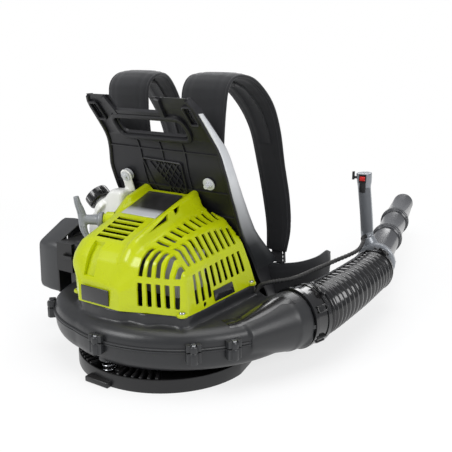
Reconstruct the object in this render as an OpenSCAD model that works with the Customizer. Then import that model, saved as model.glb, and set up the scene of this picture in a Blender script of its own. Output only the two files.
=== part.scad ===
// Backpack leaf blower. +Z is up, +Y the wearer's forward, +X the wearer's right.
// The origin lies on the ground under the crankshaft.

/* [Backplate] */
// Half the width of the backplate at the hips
plate_half_w = 138; // [132:1:142]
// Thickness of the backplate panel
plate_t = 4; // [3:0.5:5]
// Thickness of the silver trim on each side wall
trim_t = 2.5; // [1.5:0.5:4]
// Radius of the two upper studs
stud_r = 4; // [3:0.5:4.5]
// Thickness of the shoulder pads
pad_t = 15; // [10:1:18]

/* [Base] */
// Radius of the round rear part of the base foot
foot_r = 163; // [158:1:168]
// Height of the rim of the base foot
foot_h = 24; // [20:1:26]
// Thickness of the floor of the base foot
foot_floor = 8; // [6:1:8]
// Wire radius of the coil springs
spring_wire_r = 1.7; // [1.2:0.1:2]
// Mean radius of the coil springs
spring_r = 11.8; // [11:0.1:12]
// Turns of each coil spring
spring_turns = 4; // [3:1:5]

/* [Fan housing] */
// Height of the seam between the two halves, and of the outlet
seam_z = 80; // [80:1:82]
// Wall of the fan housing
housing_wall = 3; // [2.5:0.5:4]
// Radius of the air intake under the fan
intake_r = 62; // [50:1:66]
// Radius of the fan
fan_r = 108; // [95:1:110]
// Outer radius of the outlet
duct_r = 52; // [50:1:53]

/* [Hose and tubes] */
// Number of ribs on the hose
hose_ribs = 20; // [14:1:24]
// Outer radius of the blower tubes
tube_r = 32; // [30:0.5:33]
// Wall of the blower tubes
tube_wall = 2; // [1.5:0.5:3]
// Length of the nozzle beyond its ring
nozzle_len = 245; // [200:5:300]
// Radius of the throttle cable conduit
cable_r = 4.5; // [4:0.5:5]

/* [Engine] */
// Height of the cylinder axis
crank_z = 177; // [176:1:178]
// Radius of the crankshaft
shaft_r = 7; // [6:0.5:8]
// Radius of the cylinder bore
bore_r = 20; // [18:0.5:21]
// Radius of the flywheel
flywheel_r = 50; // [44:1:51]
// Wall of the engine cover
cover_wall = 3; // [2:0.5:4]
// Radius of the starter pulley flanges
pulley_r = 32; // [31:0.5:33]

/* [Fuel and air] */
// Wall of the fuel tank
tank_wall = 2.5; // [2:0.5:3.5]
// Radius of the fuel cap
cap_r = 25; // [22:0.5:27]
// Wall of the air filter box
box_wall = 2.5; // [2:0.5:3]

/* [Hidden] */
$fn = 48;
run_gap = 0.05;
skin_gap = 0.3;

// ---------- shared shapes ----------

function mean(points) = [for (k = [0:2]) let (s = [for (p = points) p[k]]) s * [for (p = points) 1] / len(points)];

// A closed solid through rings of points: each ring runs anticlockwise seen from the last ring's side
module skin(rings) {
  n = len(rings[0]);
  m = len(rings);
  polyhedron(
    concat([for (r = rings) each r], [mean(rings[0]), mean(rings[m - 1])]),
    concat(
      [for (i = [0:n - 1]) [m * n, i, (i + 1) % n]],
      [for (i = [0:n - 1]) [m * n + 1, (m - 1) * n + (i + 1) % n, (m - 1) * n + i]],
      [for (k = [0:m - 2], i = [0:n - 1])
        let (j = (i + 1) % n, a = k * n + i, b = k * n + j)
        each [[a, a + n, b + n], [a, b + n, b]]]));
}

function unit(v) = v / norm(v);

// A ring of sides points about centre c, in the plane of u and v
function round_ring(c, u, v, r, sides) = [for (i = [0:sides - 1]) let (a = 360 * i / sides)
  c + r * (cos(a) * u + sin(a) * v)];

// Direction of a route at point i
function heading(route, i) = unit(route[min(i + 1, len(route) - 1)] - route[max(i - 1, 0)]);

// Rings of a round tube along a route, kept upright, with a radius for each point
function tube_rings(route, radii, sides) = [for (i = [0:len(route) - 1])
  let (t = heading(route, i), u = unit(cross([0, 0, 1], t)), v = cross(t, u))
  round_ring(route[i], u, v, radii[i], sides)];

// A point on a smooth curve through points b and c, at share s of the way
function curve_point(a, b, c, d, s) = 0.5 * ((2 * b) + (c - a) * s + (2 * a - 5 * b + 4 * c - d) * s * s
  + (3 * b - a - 3 * c + d) * s * s * s);

// A smooth curve through every point of a route, with steps pieces between two points
function smooth(route, steps) = let (e = len(route) - 1) concat(
  [for (i = [0:e - 1], k = [0:steps - 1])
    curve_point(route[max(i - 1, 0)], route[i], route[i + 1], route[min(i + 2, e)], k / steps)],
  [route[e]]);

module along_x(length) rotate([90, 0, 90]) linear_extrude(length, center = true) children();
module along_y(length) rotate([90, 0, 0]) linear_extrude(length, center = true) children();
module block(size, at) translate(at) cube(size, center = true);
module both_sides() { children(); mirror([1, 0, 0]) children(); }

module rounded_rect(w, h, r) {
  square([w - 2 * r, h], center = true);
  square([w, h - 2 * r], center = true);
  for (x = [-1, 1], y = [-1, 1]) translate([x * (w / 2 - r), y * (h / 2 - r)]) circle(r);
}

module ring(outer, inner, h) difference() {
  cylinder(r = outer, h = h);
  translate([0, 0, -1]) cylinder(r = inner, h = h + 2);
}

// ---------- backplate ----------

// Rear face of the backplate from top to bottom: y and z
plate_rear = [[-75, 472], [-62, 456], [-16, 399], [0, 370], [10, 332], [25, 293], [37, 268], [62, 212],
  [96, 163], [127, 112], [152, 80], [165, 40], [170, foot_floor]];
// Right edge of the backplate from bottom to top: x and z
plate_edge = [[plate_half_w, foot_floor], [plate_half_w, 330], [131, 370], [125, 400], [121, 456], [112, 471]];
// Depth of the side walls at a height
plate_depths = [[foot_floor, 16], [80, 26], [131, 38], [237, 33], [326, 26], [382, 24], [436, 19], [472, 14]];
function plate_y(z) = lookup(z, [for (p = plate_rear) [p[1], p[0]]]);
function plate_depth(z) = lookup(z, plate_depths);

stud_x = 95;
stud_z = 316;
stud_tilt = 90 + atan((25 - 10) / (332 - 293));

module band(near, far) polygon(concat(
  [for (p = plate_rear) [p[0] + near, p[1]]],
  [for (i = [len(plate_rear) - 1:-1:0]) [plate_rear[i][0] + far, plate_rear[i][1]]]));

module wall_band() polygon(concat(
  plate_rear,
  [for (i = [len(plate_rear) - 1:-1:0]) [plate_rear[i][0] + plate_depth(plate_rear[i][1]), plate_rear[i][1]]]));

module plate_outline(grow) polygon(concat(
  [for (p = plate_edge) [p[0] + grow, p[1]]],
  [for (i = [len(plate_edge) - 1:-1:0]) [-plate_edge[i][0] - grow, plate_edge[i][1]]]));

module at_stud(side) translate([side * stud_x, plate_y(stud_z), stud_z]) rotate([stud_tilt, 0, 0]) children();

module backplate() color([0.13, 0.13, 0.14]) difference() {
  union() {
    intersection() {
      along_x(300) band(0, plate_t);
      along_y(600) plate_outline(0);
    }
    intersection() {
      along_x(300) wall_band();
      along_y(600) difference() {
        plate_outline(0);
        translate([0, -1]) plate_outline(-plate_t);
        translate([0, 12]) plate_outline(-plate_t);
      }
    }
    // ribs across and down the rear face
    for (r = [[310, 150], [372, 236]]) block([r[1], 8, 5], [0, plate_y(r[0]) - 1, r[0]]);
    for (x = [-52, 0, 52]) intersection() {
      along_x(600) band(-5, 1);
      block([5, 200, 62], [x, 0, 341]);
    }
    // raised pocket under the handle
    intersection() {
      along_x(600) band(-8, 1);
      block([66, 200, 26], [14, 0, 331]);
    }
    // rolled edge round the handle slot
    intersection() {
      along_x(600) band(-4, 8);
      along_y(600) translate([0, 415]) rounded_rect(166, 44, 14);
    }
  }
  along_y(600) translate([0, 415]) rounded_rect(150, 29, 10);
  block([100, 60, 20], [-10, -75, 474]);
  for (side = [-1, 1]) {
    at_stud(side) translate([0, 0, -30]) cylinder(r = stud_r + 0.2, h = 60);
    block([6, 60, 26], [side * 106, plate_y(442), 442]);
  }
}

module side_trims() color([0.78, 0.79, 0.80]) both_sides() intersection() {
  along_x(300) wall_band();
  along_y(600) difference() {
    plate_outline(trim_t);
    plate_outline(0);
  }
  block([100, 400, 300], [150, 0, 285]);
}

module backplate_bolts() color([0.72, 0.73, 0.75]) for (side = [-1, 1]) at_stud(side) {
  length = side < 0 ? 19 : 15;
  translate([0, 0, -9]) cylinder(r = 7, h = 5);
  translate([0, 0, -4]) cylinder(r = stud_r, h = length + 4);
  translate([0, 0, 3]) ring(12, stud_r, 1.5);
  translate([0, 0, 4.5]) ring(6.5, stud_r, 4);
  if (side < 0) translate([0, 0, 13.5]) ring(10, stud_r, 1.5);
}

module isolator_mounts() color([0.09, 0.09, 0.10]) for (side = [-1, 1]) at_stud(side)
  ring(11, stud_r, 3);

// ---------- base foot and springs ----------

foot_c = [43, -49];
foot_front = 190;
spring_seats = [[24, -185], [-95, 100], [160, 30]];
seat_z = 14;
cup_z = 50;
cup_r = 15.5;

module foot_outline(g) {
  translate(foot_c) circle(foot_r + g, $fn = 96);
  polygon([[-120 - g, foot_c[1]], [206 + g, foot_c[1]], [196 + g, 0], [160 + g, 140],
    [142 + g, foot_front + g], [-142 - g, foot_front + g], [-142 - g, 110]]);
}

module base_foot() color([0.16, 0.16, 0.17]) union() {
  difference() {
    union() {
      linear_extrude(foot_h) foot_outline(0);
      block([52, 20, 10], [25, -211, 5]);
    }
    translate([0, 0, foot_floor]) linear_extrude(foot_h) foot_outline(-4);
  }
  // comb ribs along the rear edge, with a gap at the rear spring
  for (a = [-138:5:-58]) if (a < -104 || a > -88)
    translate([foot_c[0], foot_c[1], foot_floor]) rotate([0, 0, a])
      translate([foot_r - 36, -2.5, 0]) cube([34, 5, foot_h + 3 - foot_floor]);
  for (p = spring_seats) translate([p[0], p[1], foot_floor]) {
    cylinder(r = spring_r + 4.5, h = seat_z - foot_floor);
    cylinder(r = spring_r - spring_wire_r - 1, h = seat_z - foot_floor + 6);
  }
  // bracket beside the rear spring
  block([10, 24, 14], [47, -180, foot_floor + 7]);
}

// Centre line of a spring: a straight wire end, the turns, and a straight end again
spring_lift = 2 * spring_wire_r;
spring_rise = cup_z - seat_z - 2 * spring_lift;
function spring_z(a) = seat_z + spring_lift + spring_rise * a / (360 * spring_turns);
function spring_dir(a) = [-sin(a), cos(a), spring_rise / (spring_turns * 2 * PI * spring_r)];
function spring_mid(a) = [spring_r * cos(a), spring_r * sin(a), spring_z(a)];
function spring_ring(a) = let (u = [cos(a), sin(a), 0], t = unit(spring_dir(a)))
  round_ring(spring_mid(a), u, cross(t, u), spring_wire_r, 6);
spring_steps = 8;
spring_rings = concat(
  [round_ring([spring_r, 0, seat_z], [1, 0, 0], [0, 1, 0], spring_wire_r, 6)],
  [round_ring(spring_mid(0), [1, 0, 0], [0, 1, -1], spring_wire_r, 6)],
  [for (k = [1:spring_turns * spring_steps - 1]) spring_ring(k * 360 / spring_steps)],
  [round_ring(spring_mid(360 * spring_turns), [1, 0, 0], [0, 1, -1], spring_wire_r, 6)],
  [round_ring([spring_r, 0, cup_z], [1, 0, 0], [0, 1, 0], spring_wire_r, 6)]);
spring_gap = min([for (a = [0:15:360 * spring_turns - 200], b = [a + 180:15:360 * spring_turns])
  norm(spring_mid(a) - spring_mid(b))]) - 2 * spring_wire_r;
echo(least_gap_between_spring_turns = spring_gap);

module coil_springs() color([0.80, 0.81, 0.83])
  for (p = spring_seats) translate([p[0], p[1], 0]) rotate([0, 0, 200]) skin(spring_rings);

// ---------- harness ----------

// Middle of the right shoulder strap: x, y, z and width
strap_route = [[80, 23.2, 329, 84], [81, 17.2, 347, 86], [82, 14.5, 385, 88], [86, 10, 445, 94],
  [88, 16, 486, 96], [88, 45, 503, 95], [98, 92, 495, 88], [108, 140, 455, 80], [112, 176, 400, 68],
  [114, 198, 330, 62], [124, 205, 260, 60], [130, 206, 200, 54], [130, 200, 152, 44]];
strap_points = smooth([for (p = strap_route) [p[0], p[1], p[2]]], 2);
strap_widths = smooth([for (p = strap_route) [p[3], 0, 0]], 2);
// Half section of a pad: share of the half width, share of the half thickness
pad_section = [[1, 0], [0.94, 0.55], [0.72, 0.92], [0.3, 0.98], [0, 0.84], [-0.3, 0.98], [-0.72, 0.92],
  [-0.94, 0.55], [-1, 0], [-0.94, -0.55], [-0.72, -0.8], [0, -0.85], [0.72, -0.8], [0.94, -0.55]];

function strap_ring(i) = let (last = len(strap_points) - 1, t = heading(strap_points, i),
  v = unit(cross(t, [1, 0, 0])), w = strap_widths[i][0] / 2 - (i == 0 || i == last ? 3 : 0),
  h = pad_t / 2 * (i == 0 || i == last ? 0.6 : 1))
  [for (s = pad_section) strap_points[i] + [w * s[0], 0, 0] + h * s[1] * v];

module shoulder_strap() skin([for (i = [0:len(strap_points) - 1]) strap_ring(i)]);
module shoulder_strap_right() color([0.10, 0.10, 0.11]) shoulder_strap();
module shoulder_strap_left() color([0.10, 0.10, 0.11]) mirror([1, 0, 0]) shoulder_strap();

back_pad_t = 28;
back_pad_levels = [115, 140, 163, 190, 212, 240, 268, 293, 304];
// Half section of the back pad: share of the half width, share of the thickness
back_section = [[1, 0.1], [1, 0.6], [0.9, 0.9], [0.65, 1], [0.48, 0.82], [0.3, 1], [0, 0.86], [-0.3, 1], [-0.48, 0.82],
  [-0.65, 1], [-0.9, 0.9], [-1, 0.6], [-1, 0.1], [-0.9, 0], [0, 0], [0.9, 0]];
function back_ring(z) = let (e = z == 115 || z == 304, w = 112 - (e ? 8 : 0), t = back_pad_t * (e ? 0.6 : 1))
  [for (s = back_section) [w * s[0], plate_y(z) + plate_t + skin_gap + t * s[1], z]];
module back_pad() color([0.08, 0.08, 0.09]) skin([for (z = back_pad_levels) back_ring(z)]);

// Middle of the right hip pad seen from above
hip_route = [[66, 172], [110, 177], [146, 194], [172, 224], [184, 271], [181, 318], [174, 357]];
hip_points = smooth([for (p = hip_route) [p[0], p[1], 95]], 2);
function hip_ring(i) = let (last = len(hip_points) - 1, t = heading(hip_points, i),
  u = cross([0, 0, 1], t), e = i == 0 || i == last, h = e ? 24 : 35, w = pad_t / 2 * (e ? 0.6 : 1))
  [for (s = pad_section) hip_points[i] + [0, 0, -h * s[0]] + w * s[1] * u];
module hip_pad() skin([for (i = [0:len(hip_points) - 1]) hip_ring(i)]);
module hip_pads() color([0.11, 0.11, 0.12]) both_sides() hip_pad();

webbing_t = 2;
buckle_t = 4;

// Flat webbing: one ring of four corners at each point of a route in a plane of constant x
function webbing_ring(route, i, w) = let (t = heading(route, i), v = unit(cross(t, [1, 0, 0])))
  [for (s = [[1, -1], [1, 1], [-1, 1], [-1, -1]])
    route[i] + [w / 2 * s[0], 0, 0] + webbing_t / 2 * s[1] * v];
// From the foot of the shoulder pad, past the buckle, to the top of the hip pad
webbing_route = [[131, 200, 151.7], [133, 197.5, 146], [134.8, 194.8, 140], [136.5, 192.6, 135], [138, 190.5, 130.4]];
module strap_webbing() color([0.06, 0.06, 0.07]) both_sides() {
  skin([for (i = [0:len(webbing_route) - 1]) webbing_ring(webbing_route, i, 25)]);
  // adjuster tape lying on the front of the shoulder pad
  skin([for (i = [0:len(tape_route) - 1]) webbing_ring(tape_route, i, 25)]);
}
// The tape lies on the front of the shoulder pad
tape_route = [for (i = [11:17]) strap_points[i]
  + (pad_t / 2 * 0.85 + webbing_t / 2 + skin_gap) * unit(cross([1, 0, 0], heading(strap_points, i)))];

// A two-slot buckle lying on webbing at point i of its route, on one side of it
module buckle(route, i, side, h) {
  t = heading(route, i);
  translate(route[i]) rotate([atan2(t[2], t[1]), 0, 0])
    translate([0, 0, side * (webbing_t / 2 + skin_gap + buckle_t / 2)]) linear_extrude(buckle_t, center = true)
      difference() {
        rounded_rect(34, h, 3);
        for (y = [-1, 1]) translate([0, y * h / 4]) square([26, h / 6], center = true);
      }
}
module strap_buckles() color([0.05, 0.05, 0.06]) both_sides() {
  buckle(webbing_route, 2, -1, 20);
  buckle(tape_route, 1, 1, 18);
}

// ---------- fan housing ----------

housing_low = 36;
housing_top = 110;
duct_end = [252, 52, seam_z];
duct_yaw = 14;
// Radius of the scroll at the seam, by angle from +X
function scroll_r(a) = lookup(a, [[-300, 122], [-270, 134], [-136, 208], [-100, 207], [0, 270], [7.4, 304.5],
  [17.8, 212], [60, 122]]);
scroll_angles = concat([for (a = [-300:8:-4]) a], [0, 7.4, 17.8, 30, 45]);
// Height and inset of the scroll's outline, from bottom to top
scroll_levels = [[housing_low, 24], [40, 10], [55, 2], [seam_z, 0], [95, 1], [104, 10], [housing_top, 25]];
function scroll_ring(z, inset) = [for (a = scroll_angles) let (r = scroll_r(a) - inset)
  [r * cos(a), r * sin(a), z]];
module scroll_outer() skin([for (l = scroll_levels) scroll_ring(l[0], l[1])]);
function inner_z(z) = z < seam_z
  ? seam_z - (seam_z - z) * (1 - housing_wall / (seam_z - housing_low))
  : seam_z + (z - seam_z) * (1 - housing_wall / (housing_top - seam_z));
module scroll_inner() skin([for (l = scroll_levels) scroll_ring(inner_z(l[0]), l[1] + housing_wall)]);

module at_duct() translate(duct_end) rotate([-90, 0, -duct_yaw]) children();
module duct(r) at_duct() {
  translate([0, 0, -32]) cylinder(r = r, h = 32);
  translate([0, 0, -130]) cylinder(r1 = r - 20, r2 = r, h = 98);
}
module duct_bore() at_duct() {
  translate([0, 0, -33]) cylinder(r = duct_r - housing_wall, h = 40);
  translate([0, 0, -131]) cylinder(r1 = duct_r - 20 - housing_wall, r2 = duct_r - housing_wall, h = 98.5);
}

module housing_lip(z, h) translate([0, 0, z]) linear_extrude(h) difference() {
  polygon([for (a = scroll_angles) let (r = scroll_r(a) + 3) [r * cos(a), r * sin(a)]]);
  polygon([for (a = scroll_angles) let (r = scroll_r(a) - 2) [r * cos(a), r * sin(a)]]);
}

// Angles of the bosses along the seam
boss_angles = [-26, -41, -82, -136, -180, -222, 38];
boss_r = 8;
screw_r = 2.4;
boss_drop = 20;
boss_rise = 11;
// A screw post between two flat wings, from z up to z + h
module boss(z, h) {
  translate([0, 0, z]) cylinder(r = boss_r, h = h);
  for (side = [-1, 1]) translate([-1.5, side * 9, z + h / 2]) cube([11, 7, h - 3], center = true);
}
module at_boss(a) rotate([0, 0, a]) translate([scroll_r(a) + 6.4, 0, 0]) children();

module housing_outside() {
  scroll_outer();
  duct(duct_r);
}
module housing_inside() {
  scroll_inner();
  duct_bore();
}

module volute_lower() color([0.19, 0.19, 0.20]) difference() {
  union() {
    difference() {
      union() {
        intersection() {
          housing_outside();
          block([800, 800, seam_z - 10], [0, 0, (seam_z - 10) / 2 + 10]);
        }
        housing_lip(seam_z - 3, 3);
        for (a = boss_angles) at_boss(a) boss(seam_z - boss_drop, boss_drop);
      }
      housing_inside();
    }
    // spring cups
    for (p = spring_seats) translate([p[0], p[1], housing_low])
      cylinder(r = cup_r + 2.5, h = cup_z + 3 - housing_low);
    // housing round the open side of the rear cup
    block([36, 26, cup_z + 3 - housing_low],
      [spring_seats[0][0], spring_seats[0][1] - 14, (cup_z + 3 + housing_low) / 2]);
  }
  for (p = spring_seats) translate([p[0], p[1], 0]) cylinder(r = cup_r, h = cup_z);
  block([26, 60, 30], [spring_seats[0][0], spring_seats[0][1] - 30, cup_z - 15]);
  translate([0, 0, housing_low - 1]) cylinder(r = intake_r, h = housing_wall + 2);
  for (a = boss_angles) at_boss(a) translate([0, 0, seam_z - 12]) cylinder(r = screw_r, h = 20);
  at_duct() cylinder(r = duct_r + 8, h = 60);
}

// Foot of the engine cover seen from above
cover_foot = [[172, 57], [166, -149], [117, -165], [102, -179], [68, -180], [54, -191], [15, -193], [-36, -186],
  [-82, -150], [-82, 57]];
plinth_top = 130;
post_r = 6;
post_ring = 60;
tank_low = 150;

module volute_upper() color([0.20, 0.20, 0.21]) difference() {
  union() {
    intersection() {
      housing_outside();
      block([800, 800, 100], [0, 0, seam_z + 50]);
    }
    housing_lip(seam_z, 3);
    for (a = boss_angles) at_boss(a) boss(seam_z, boss_rise);
    translate([0, 0, 102]) linear_extrude(plinth_top - 102) difference() {
      polygon(cover_foot);
      offset(delta = -3) polygon(cover_foot);
    }
    // saddle under the fuel tank
    for (x = [-140, -116]) block([8, 34, tank_low - housing_top + 2], [x, 20, (tank_low + housing_top - 2) / 2]);
    // bracket that carries the air filter box
    block([22, 20, 30], [-161, -70, 113]);
  }
  translate([0, 0, housing_top - housing_wall - 1]) cylinder(r = shaft_r + 6, h = housing_wall + 2);
  for (a = boss_angles) at_boss(a) translate([0, 0, seam_z - 1]) cylinder(r = screw_r, h = 20);
  at_duct() cylinder(r = duct_r + 8, h = 60);
  housing_inside();
}

module case_screws() color([0.55, 0.56, 0.58]) for (a = boss_angles) at_boss(a) {
  translate([0, 0, seam_z - 10]) cylinder(r = screw_r, h = boss_rise + 10);
  translate([0, 0, seam_z + boss_rise]) cylinder(r = 4.5, h = 3);
}

module intake_guard() color([0.14, 0.14, 0.15]) translate([0, 0, housing_low - 5]) union() {
  ring(intake_r + 8, intake_r - 2, 5);
  for (r = [20, 34, 48]) ring(r + 1.5, r - 1.5, 3);
  cylinder(r = 9, h = 3);
  for (a = [0:45:315]) rotate([0, 0, a]) block([intake_r - 6, 3, 3], [intake_r / 2 + 3, 0, 1.5]);
}

fan_low = 48;
fan_disc_z = 94;
module impeller() color([0.30, 0.30, 0.32]) difference() {
  union() {
    translate([0, 0, fan_disc_z]) cylinder(r = fan_r, h = 3);
    translate([0, 0, 62]) cylinder(r = 16, h = fan_disc_z - 61);
    for (a = [0:30:330]) rotate([0, 0, a]) translate([fan_r - 34, 0, (fan_low + fan_disc_z) / 2]) rotate([0, 0, -32])
      block([66, 2.5, fan_disc_z - fan_low + 1], [0, 0, 0.5]);
  }
  translate([0, 0, 55]) cylinder(r = shaft_r, h = 60);
}

// ---------- engine ----------

case_low = crank_z - 31;
case_top = crank_z + 31;
case_r = 44;
cavity_r = 35;
bearing_r = 14;
bearing_h = 8;
cavity_half = 19;
neck_end = 46;
throw_r = 16;
rod_len = 62;

module crankcase() color([0.62, 0.63, 0.65]) difference() {
  union() {
    translate([0, 0, case_low]) cylinder(r = case_r, h = case_top - case_low);
    block([60, 20, 58], [0, 10 - neck_end, crank_z]);
    for (a = [-45, 45, 135, 225]) rotate([0, 0, a]) {
      block([post_ring - 36, 14, 6], [(post_ring + 36) / 2, 0, case_low + 3]);
      translate([post_ring, 0, housing_top]) cylinder(r = post_r, h = case_low + 6 - housing_top);
    }
    // arm that holds the ignition coil
    block([32, 14, 6], [-54, 0, case_low + 3]);
  }
  translate([0, 0, crank_z - cavity_half]) cylinder(r = cavity_r, h = 2 * cavity_half);
  translate([0, 0, case_low + 4]) cylinder(r = bearing_r, h = 40);
  translate([0, 0, crank_z]) cylinder(r = bearing_r, h = cavity_half + bearing_h);
  translate([0, 0, case_low - 1]) cylinder(r = shaft_r + 2, h = case_top - case_low + 2);
  translate([0, -20, crank_z]) rotate([90, 0, 0]) cylinder(r = bore_r + 1, h = 40);
}

module main_bearings() color([0.75, 0.76, 0.78]) for (z = [case_low + 4, crank_z + cavity_half])
  translate([0, 0, z]) {
    ring(bearing_r, bearing_r - 2.5, bearing_h);
    ring(shaft_r + 2.5, shaft_r + 0.02, bearing_h);
    translate([0, 0, 2]) ring(bearing_r - 2.5, shaft_r + 2.5, bearing_h - 4);
  }

web_z = 9;
web_t = 8;
starter_top = crank_z + 83;
module crankshaft() color([0.70, 0.71, 0.73]) union() {
  translate([0, 0, 62]) cylinder(r = shaft_r, h = crank_z - web_z - 62);
  translate([0, 0, crank_z + web_z]) cylinder(r = shaft_r, h = case_top + 10 - crank_z - web_z);
  for (z = [crank_z - web_z - web_t, crank_z + web_z]) translate([0, 0, z]) cylinder(r = 30, h = web_t);
  translate([0, -throw_r, crank_z - web_z]) cylinder(r = 7, h = 3.5);
  translate([0, -throw_r, crank_z + web_z - 3.5]) cylinder(r = 7, h = 3.5);
  // starter dog
  translate([0, 0, case_top + 6]) cylinder(r = 11, h = 8);
}

module flywheel() color([0.50, 0.51, 0.53]) translate([0, 0, 118]) difference() {
  union() {
    cylinder(r = flywheel_r, h = 6);
    ring(flywheel_r, flywheel_r - 12, 20);
    cylinder(r = 14, h = 20);
    for (a = [0:24:336]) rotate([0, 0, a]) block([28, 2, 13], [26, 0, 10.5]);
  }
  translate([0, 0, -1]) cylinder(r = shaft_r, h = 30);
}

module ignition_coil() color([0.12, 0.12, 0.13]) union() {
  block([18, 34, 18], [-flywheel_r - 12, 0, 129]);
  for (y = [-13, 13]) block([3, 8, 12], [-flywheel_r - 2, y, 129]);
  block([10, 10, case_low - 138], [-flywheel_r - 12, 0, (case_low + 138) / 2]);
}

wrist_y = -throw_r - rod_len;
module connecting_rod() color([0.66, 0.67, 0.69]) translate([0, 0, crank_z - 5]) difference() {
  union() {
    translate([0, -throw_r, 0]) cylinder(r = 11, h = 10);
    translate([0, wrist_y, 0]) cylinder(r = 8, h = 10);
    block([9, rod_len - 8, 8], [0, -throw_r - rod_len / 2, 5]);
  }
  translate([0, wrist_y, -1]) cylinder(r = 4.5 + run_gap, h = 12);
  translate([0, -throw_r, -1]) cylinder(r = 7 + run_gap, h = 12);
}

piston_r = bore_r - run_gap;
crown_y = -100;
skirt_y = -66;
module piston() color([0.74, 0.75, 0.77]) {
  difference() {
    translate([0, skirt_y, crank_z]) rotate([90, 0, 0]) cylinder(r = piston_r, h = skirt_y - crown_y);
    translate([0, skirt_y + 1, crank_z]) rotate([90, 0, 0]) cylinder(r = bore_r - 4, h = skirt_y - crown_y - 4);
    for (k = [0, 1]) translate([0, crown_y + 5 + 5 * k, crank_z]) rotate([90, 0, 0])
      ring(bore_r + 1, bore_r - 2.5, 2);
  }
  // two ears carry the wrist pin
  for (s = [-1, 1]) difference() {
    intersection() {
      translate([0, wrist_y + 8, crank_z]) rotate([90, 0, 0]) cylinder(r = bore_r - 3, h = 16);
      block([14, 16, 12], [0, wrist_y, crank_z + s * 14]);
    }
    translate([0, wrist_y, crank_z - 30]) cylinder(r = 4.5, h = 60);
  }
  translate([0, wrist_y, crank_z - 16]) cylinder(r = 4.5, h = 32);
}

module cylinder_barrel() translate([0, -neck_end, crank_z]) rotate([90, 0, 0]) cylinder(r = bore_r + 6, h = 66);
module cylinder_block() difference() {
  union() {
    cylinder_barrel();
    block([60, 6, 58], [0, -neck_end - 3, crank_z]);
    for (k = [0:7]) block([76, 2.5, 76], [0, -58 - 7 * k, crank_z]);
    translate([32, -78, crank_z]) rotate([0, 90, 0]) cylinder(r = 13, h = 14, center = true);
    translate([-30, -70, crank_z]) rotate([0, 90, 0]) cylinder(r = 12, h = 16, center = true);
  }
  translate([0, 0, crank_z]) rotate([90, 0, 0]) cylinder(r = bore_r, h = 102.5);
  translate([0, -100, crank_z]) rotate([90, 0, 0]) cylinder(r = 5, h = 14);
  translate([30, -78, crank_z]) rotate([0, 90, 0]) cylinder(r = 8, h = 30, center = true);
  translate([-30, -70, crank_z]) rotate([0, 90, 0]) cylinder(r = 7, h = 26, center = true);
}
module cylinder_node() color([0.64, 0.65, 0.67]) cylinder_block();

module spark_plug() color([0.85, 0.85, 0.84]) translate([0, 0, crank_z]) rotate([90, 0, 0]) {
  translate([0, 0, 104]) cylinder(r = 5, h = 8);
  translate([0, 0, 112]) cylinder(r = 9, h = 9, $fn = 6);
  translate([0, 0, 121]) cylinder(r = 4.5, h = 18);
}

module plug_boot() color([0.07, 0.07, 0.08]) {
  difference() {
    translate([0, -124, crank_z]) rotate([90, 0, 0]) cylinder(r = 10, h = 28);
    translate([0, -120, crank_z]) rotate([90, 0, 0]) cylinder(r = 4.5, h = 20);
  }
  // lead to the ignition coil, under the cylinder
  lead = smooth([[-9, -140, 177], [-22, -134, 168], [-48, -118, 148], [-66, -92, 134], [-68, -56, 129], [-64, -17.5, 129]], 3);
  skin(tube_rings(lead, [for (p = lead) 3], 8));
}

module muffler() color([0.82, 0.82, 0.83]) union() {
  difference() {
    block([70, 78, 66], [88, -79, crank_z]);
    block([64, 72, 60], [88, -79, crank_z]);
    translate([50, -78, crank_z]) rotate([0, 90, 0]) cylinder(r = 8, h = 12, center = true);
    translate([123, -60, crank_z + 14]) rotate([0, 90, 0]) cylinder(r = 7, h = 12, center = true);
  }
  translate([39, -78, crank_z]) rotate([0, 90, 0]) ring(13, 8, 14);
}

module insulator_block() color([0.18, 0.16, 0.14]) translate([-52, -70, crank_z]) rotate([0, 90, 0])
  ring(15, 7, 14);

carb_x = -64;
intake_y = -70;
module carburettor() color([0.58, 0.59, 0.61]) difference() {
  block([24, 34, 34], [carb_x, intake_y, crank_z]);
  translate([carb_x, intake_y, crank_z]) rotate([0, 90, 0]) cylinder(r = 7, h = 40, center = true);
  translate([carb_x, intake_y, crank_z - 20]) cylinder(r = 2.5 + run_gap, h = 40);
}

module throttle_shaft() color([0.75, 0.72, 0.60]) {
  translate([carb_x, intake_y, crank_z - 16]) cylinder(r = 2.5, h = 38);
  translate([carb_x, intake_y, crank_z]) rotate([0, 90, 0]) cylinder(r = 6.6, h = 1.2, center = true);
  block([6, 16, 2.5], [carb_x, intake_y + 6, crank_z + 20]);
}

// ---------- starter ----------

starter_r = pulley_r + 5;
rope_z = crank_z + 67;
rope_r = 1.75;
groove_r = 27;
rope_yaw = 30;
rope_off = groove_r + rope_r + skin_gap;
// The rope leaves the pulley here, along -X and a little to the rear
rope_start = [rope_off * sin(rope_yaw), -rope_off * cos(rope_yaw), rope_z];
module at_rope(s) translate(rope_start) rotate([0, -90, rope_yaw]) translate([0, 0, s]) children();

module starter_housing() color([0.15, 0.15, 0.16]) difference() {
  union() {
    translate([0, 0, case_top]) ring(starter_r, starter_r - 2.5, starter_top - case_top);
    translate([0, 0, starter_top - 3]) cylinder(r = starter_r, h = 3);
    translate([0, 0, rope_z - 10]) cylinder(r = 6, h = starter_top - rope_z + 9);
    translate([0, 0, rope_z - 10]) cylinder(r = 9, h = 2.8);
  }
  at_rope(10) cylinder(r = 4, h = 60);
}

module starter_pulley() color([0.85, 0.85, 0.83]) translate([0, 0, rope_z]) difference() {
  union() {
    cylinder(r = groove_r, h = 10, center = true);
    for (z = [-7, 4]) translate([0, 0, z]) cylinder(r = pulley_r, h = 3);
  }
  translate([0, 0, -20]) cylinder(r = 6 + run_gap, h = 40);
}

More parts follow.
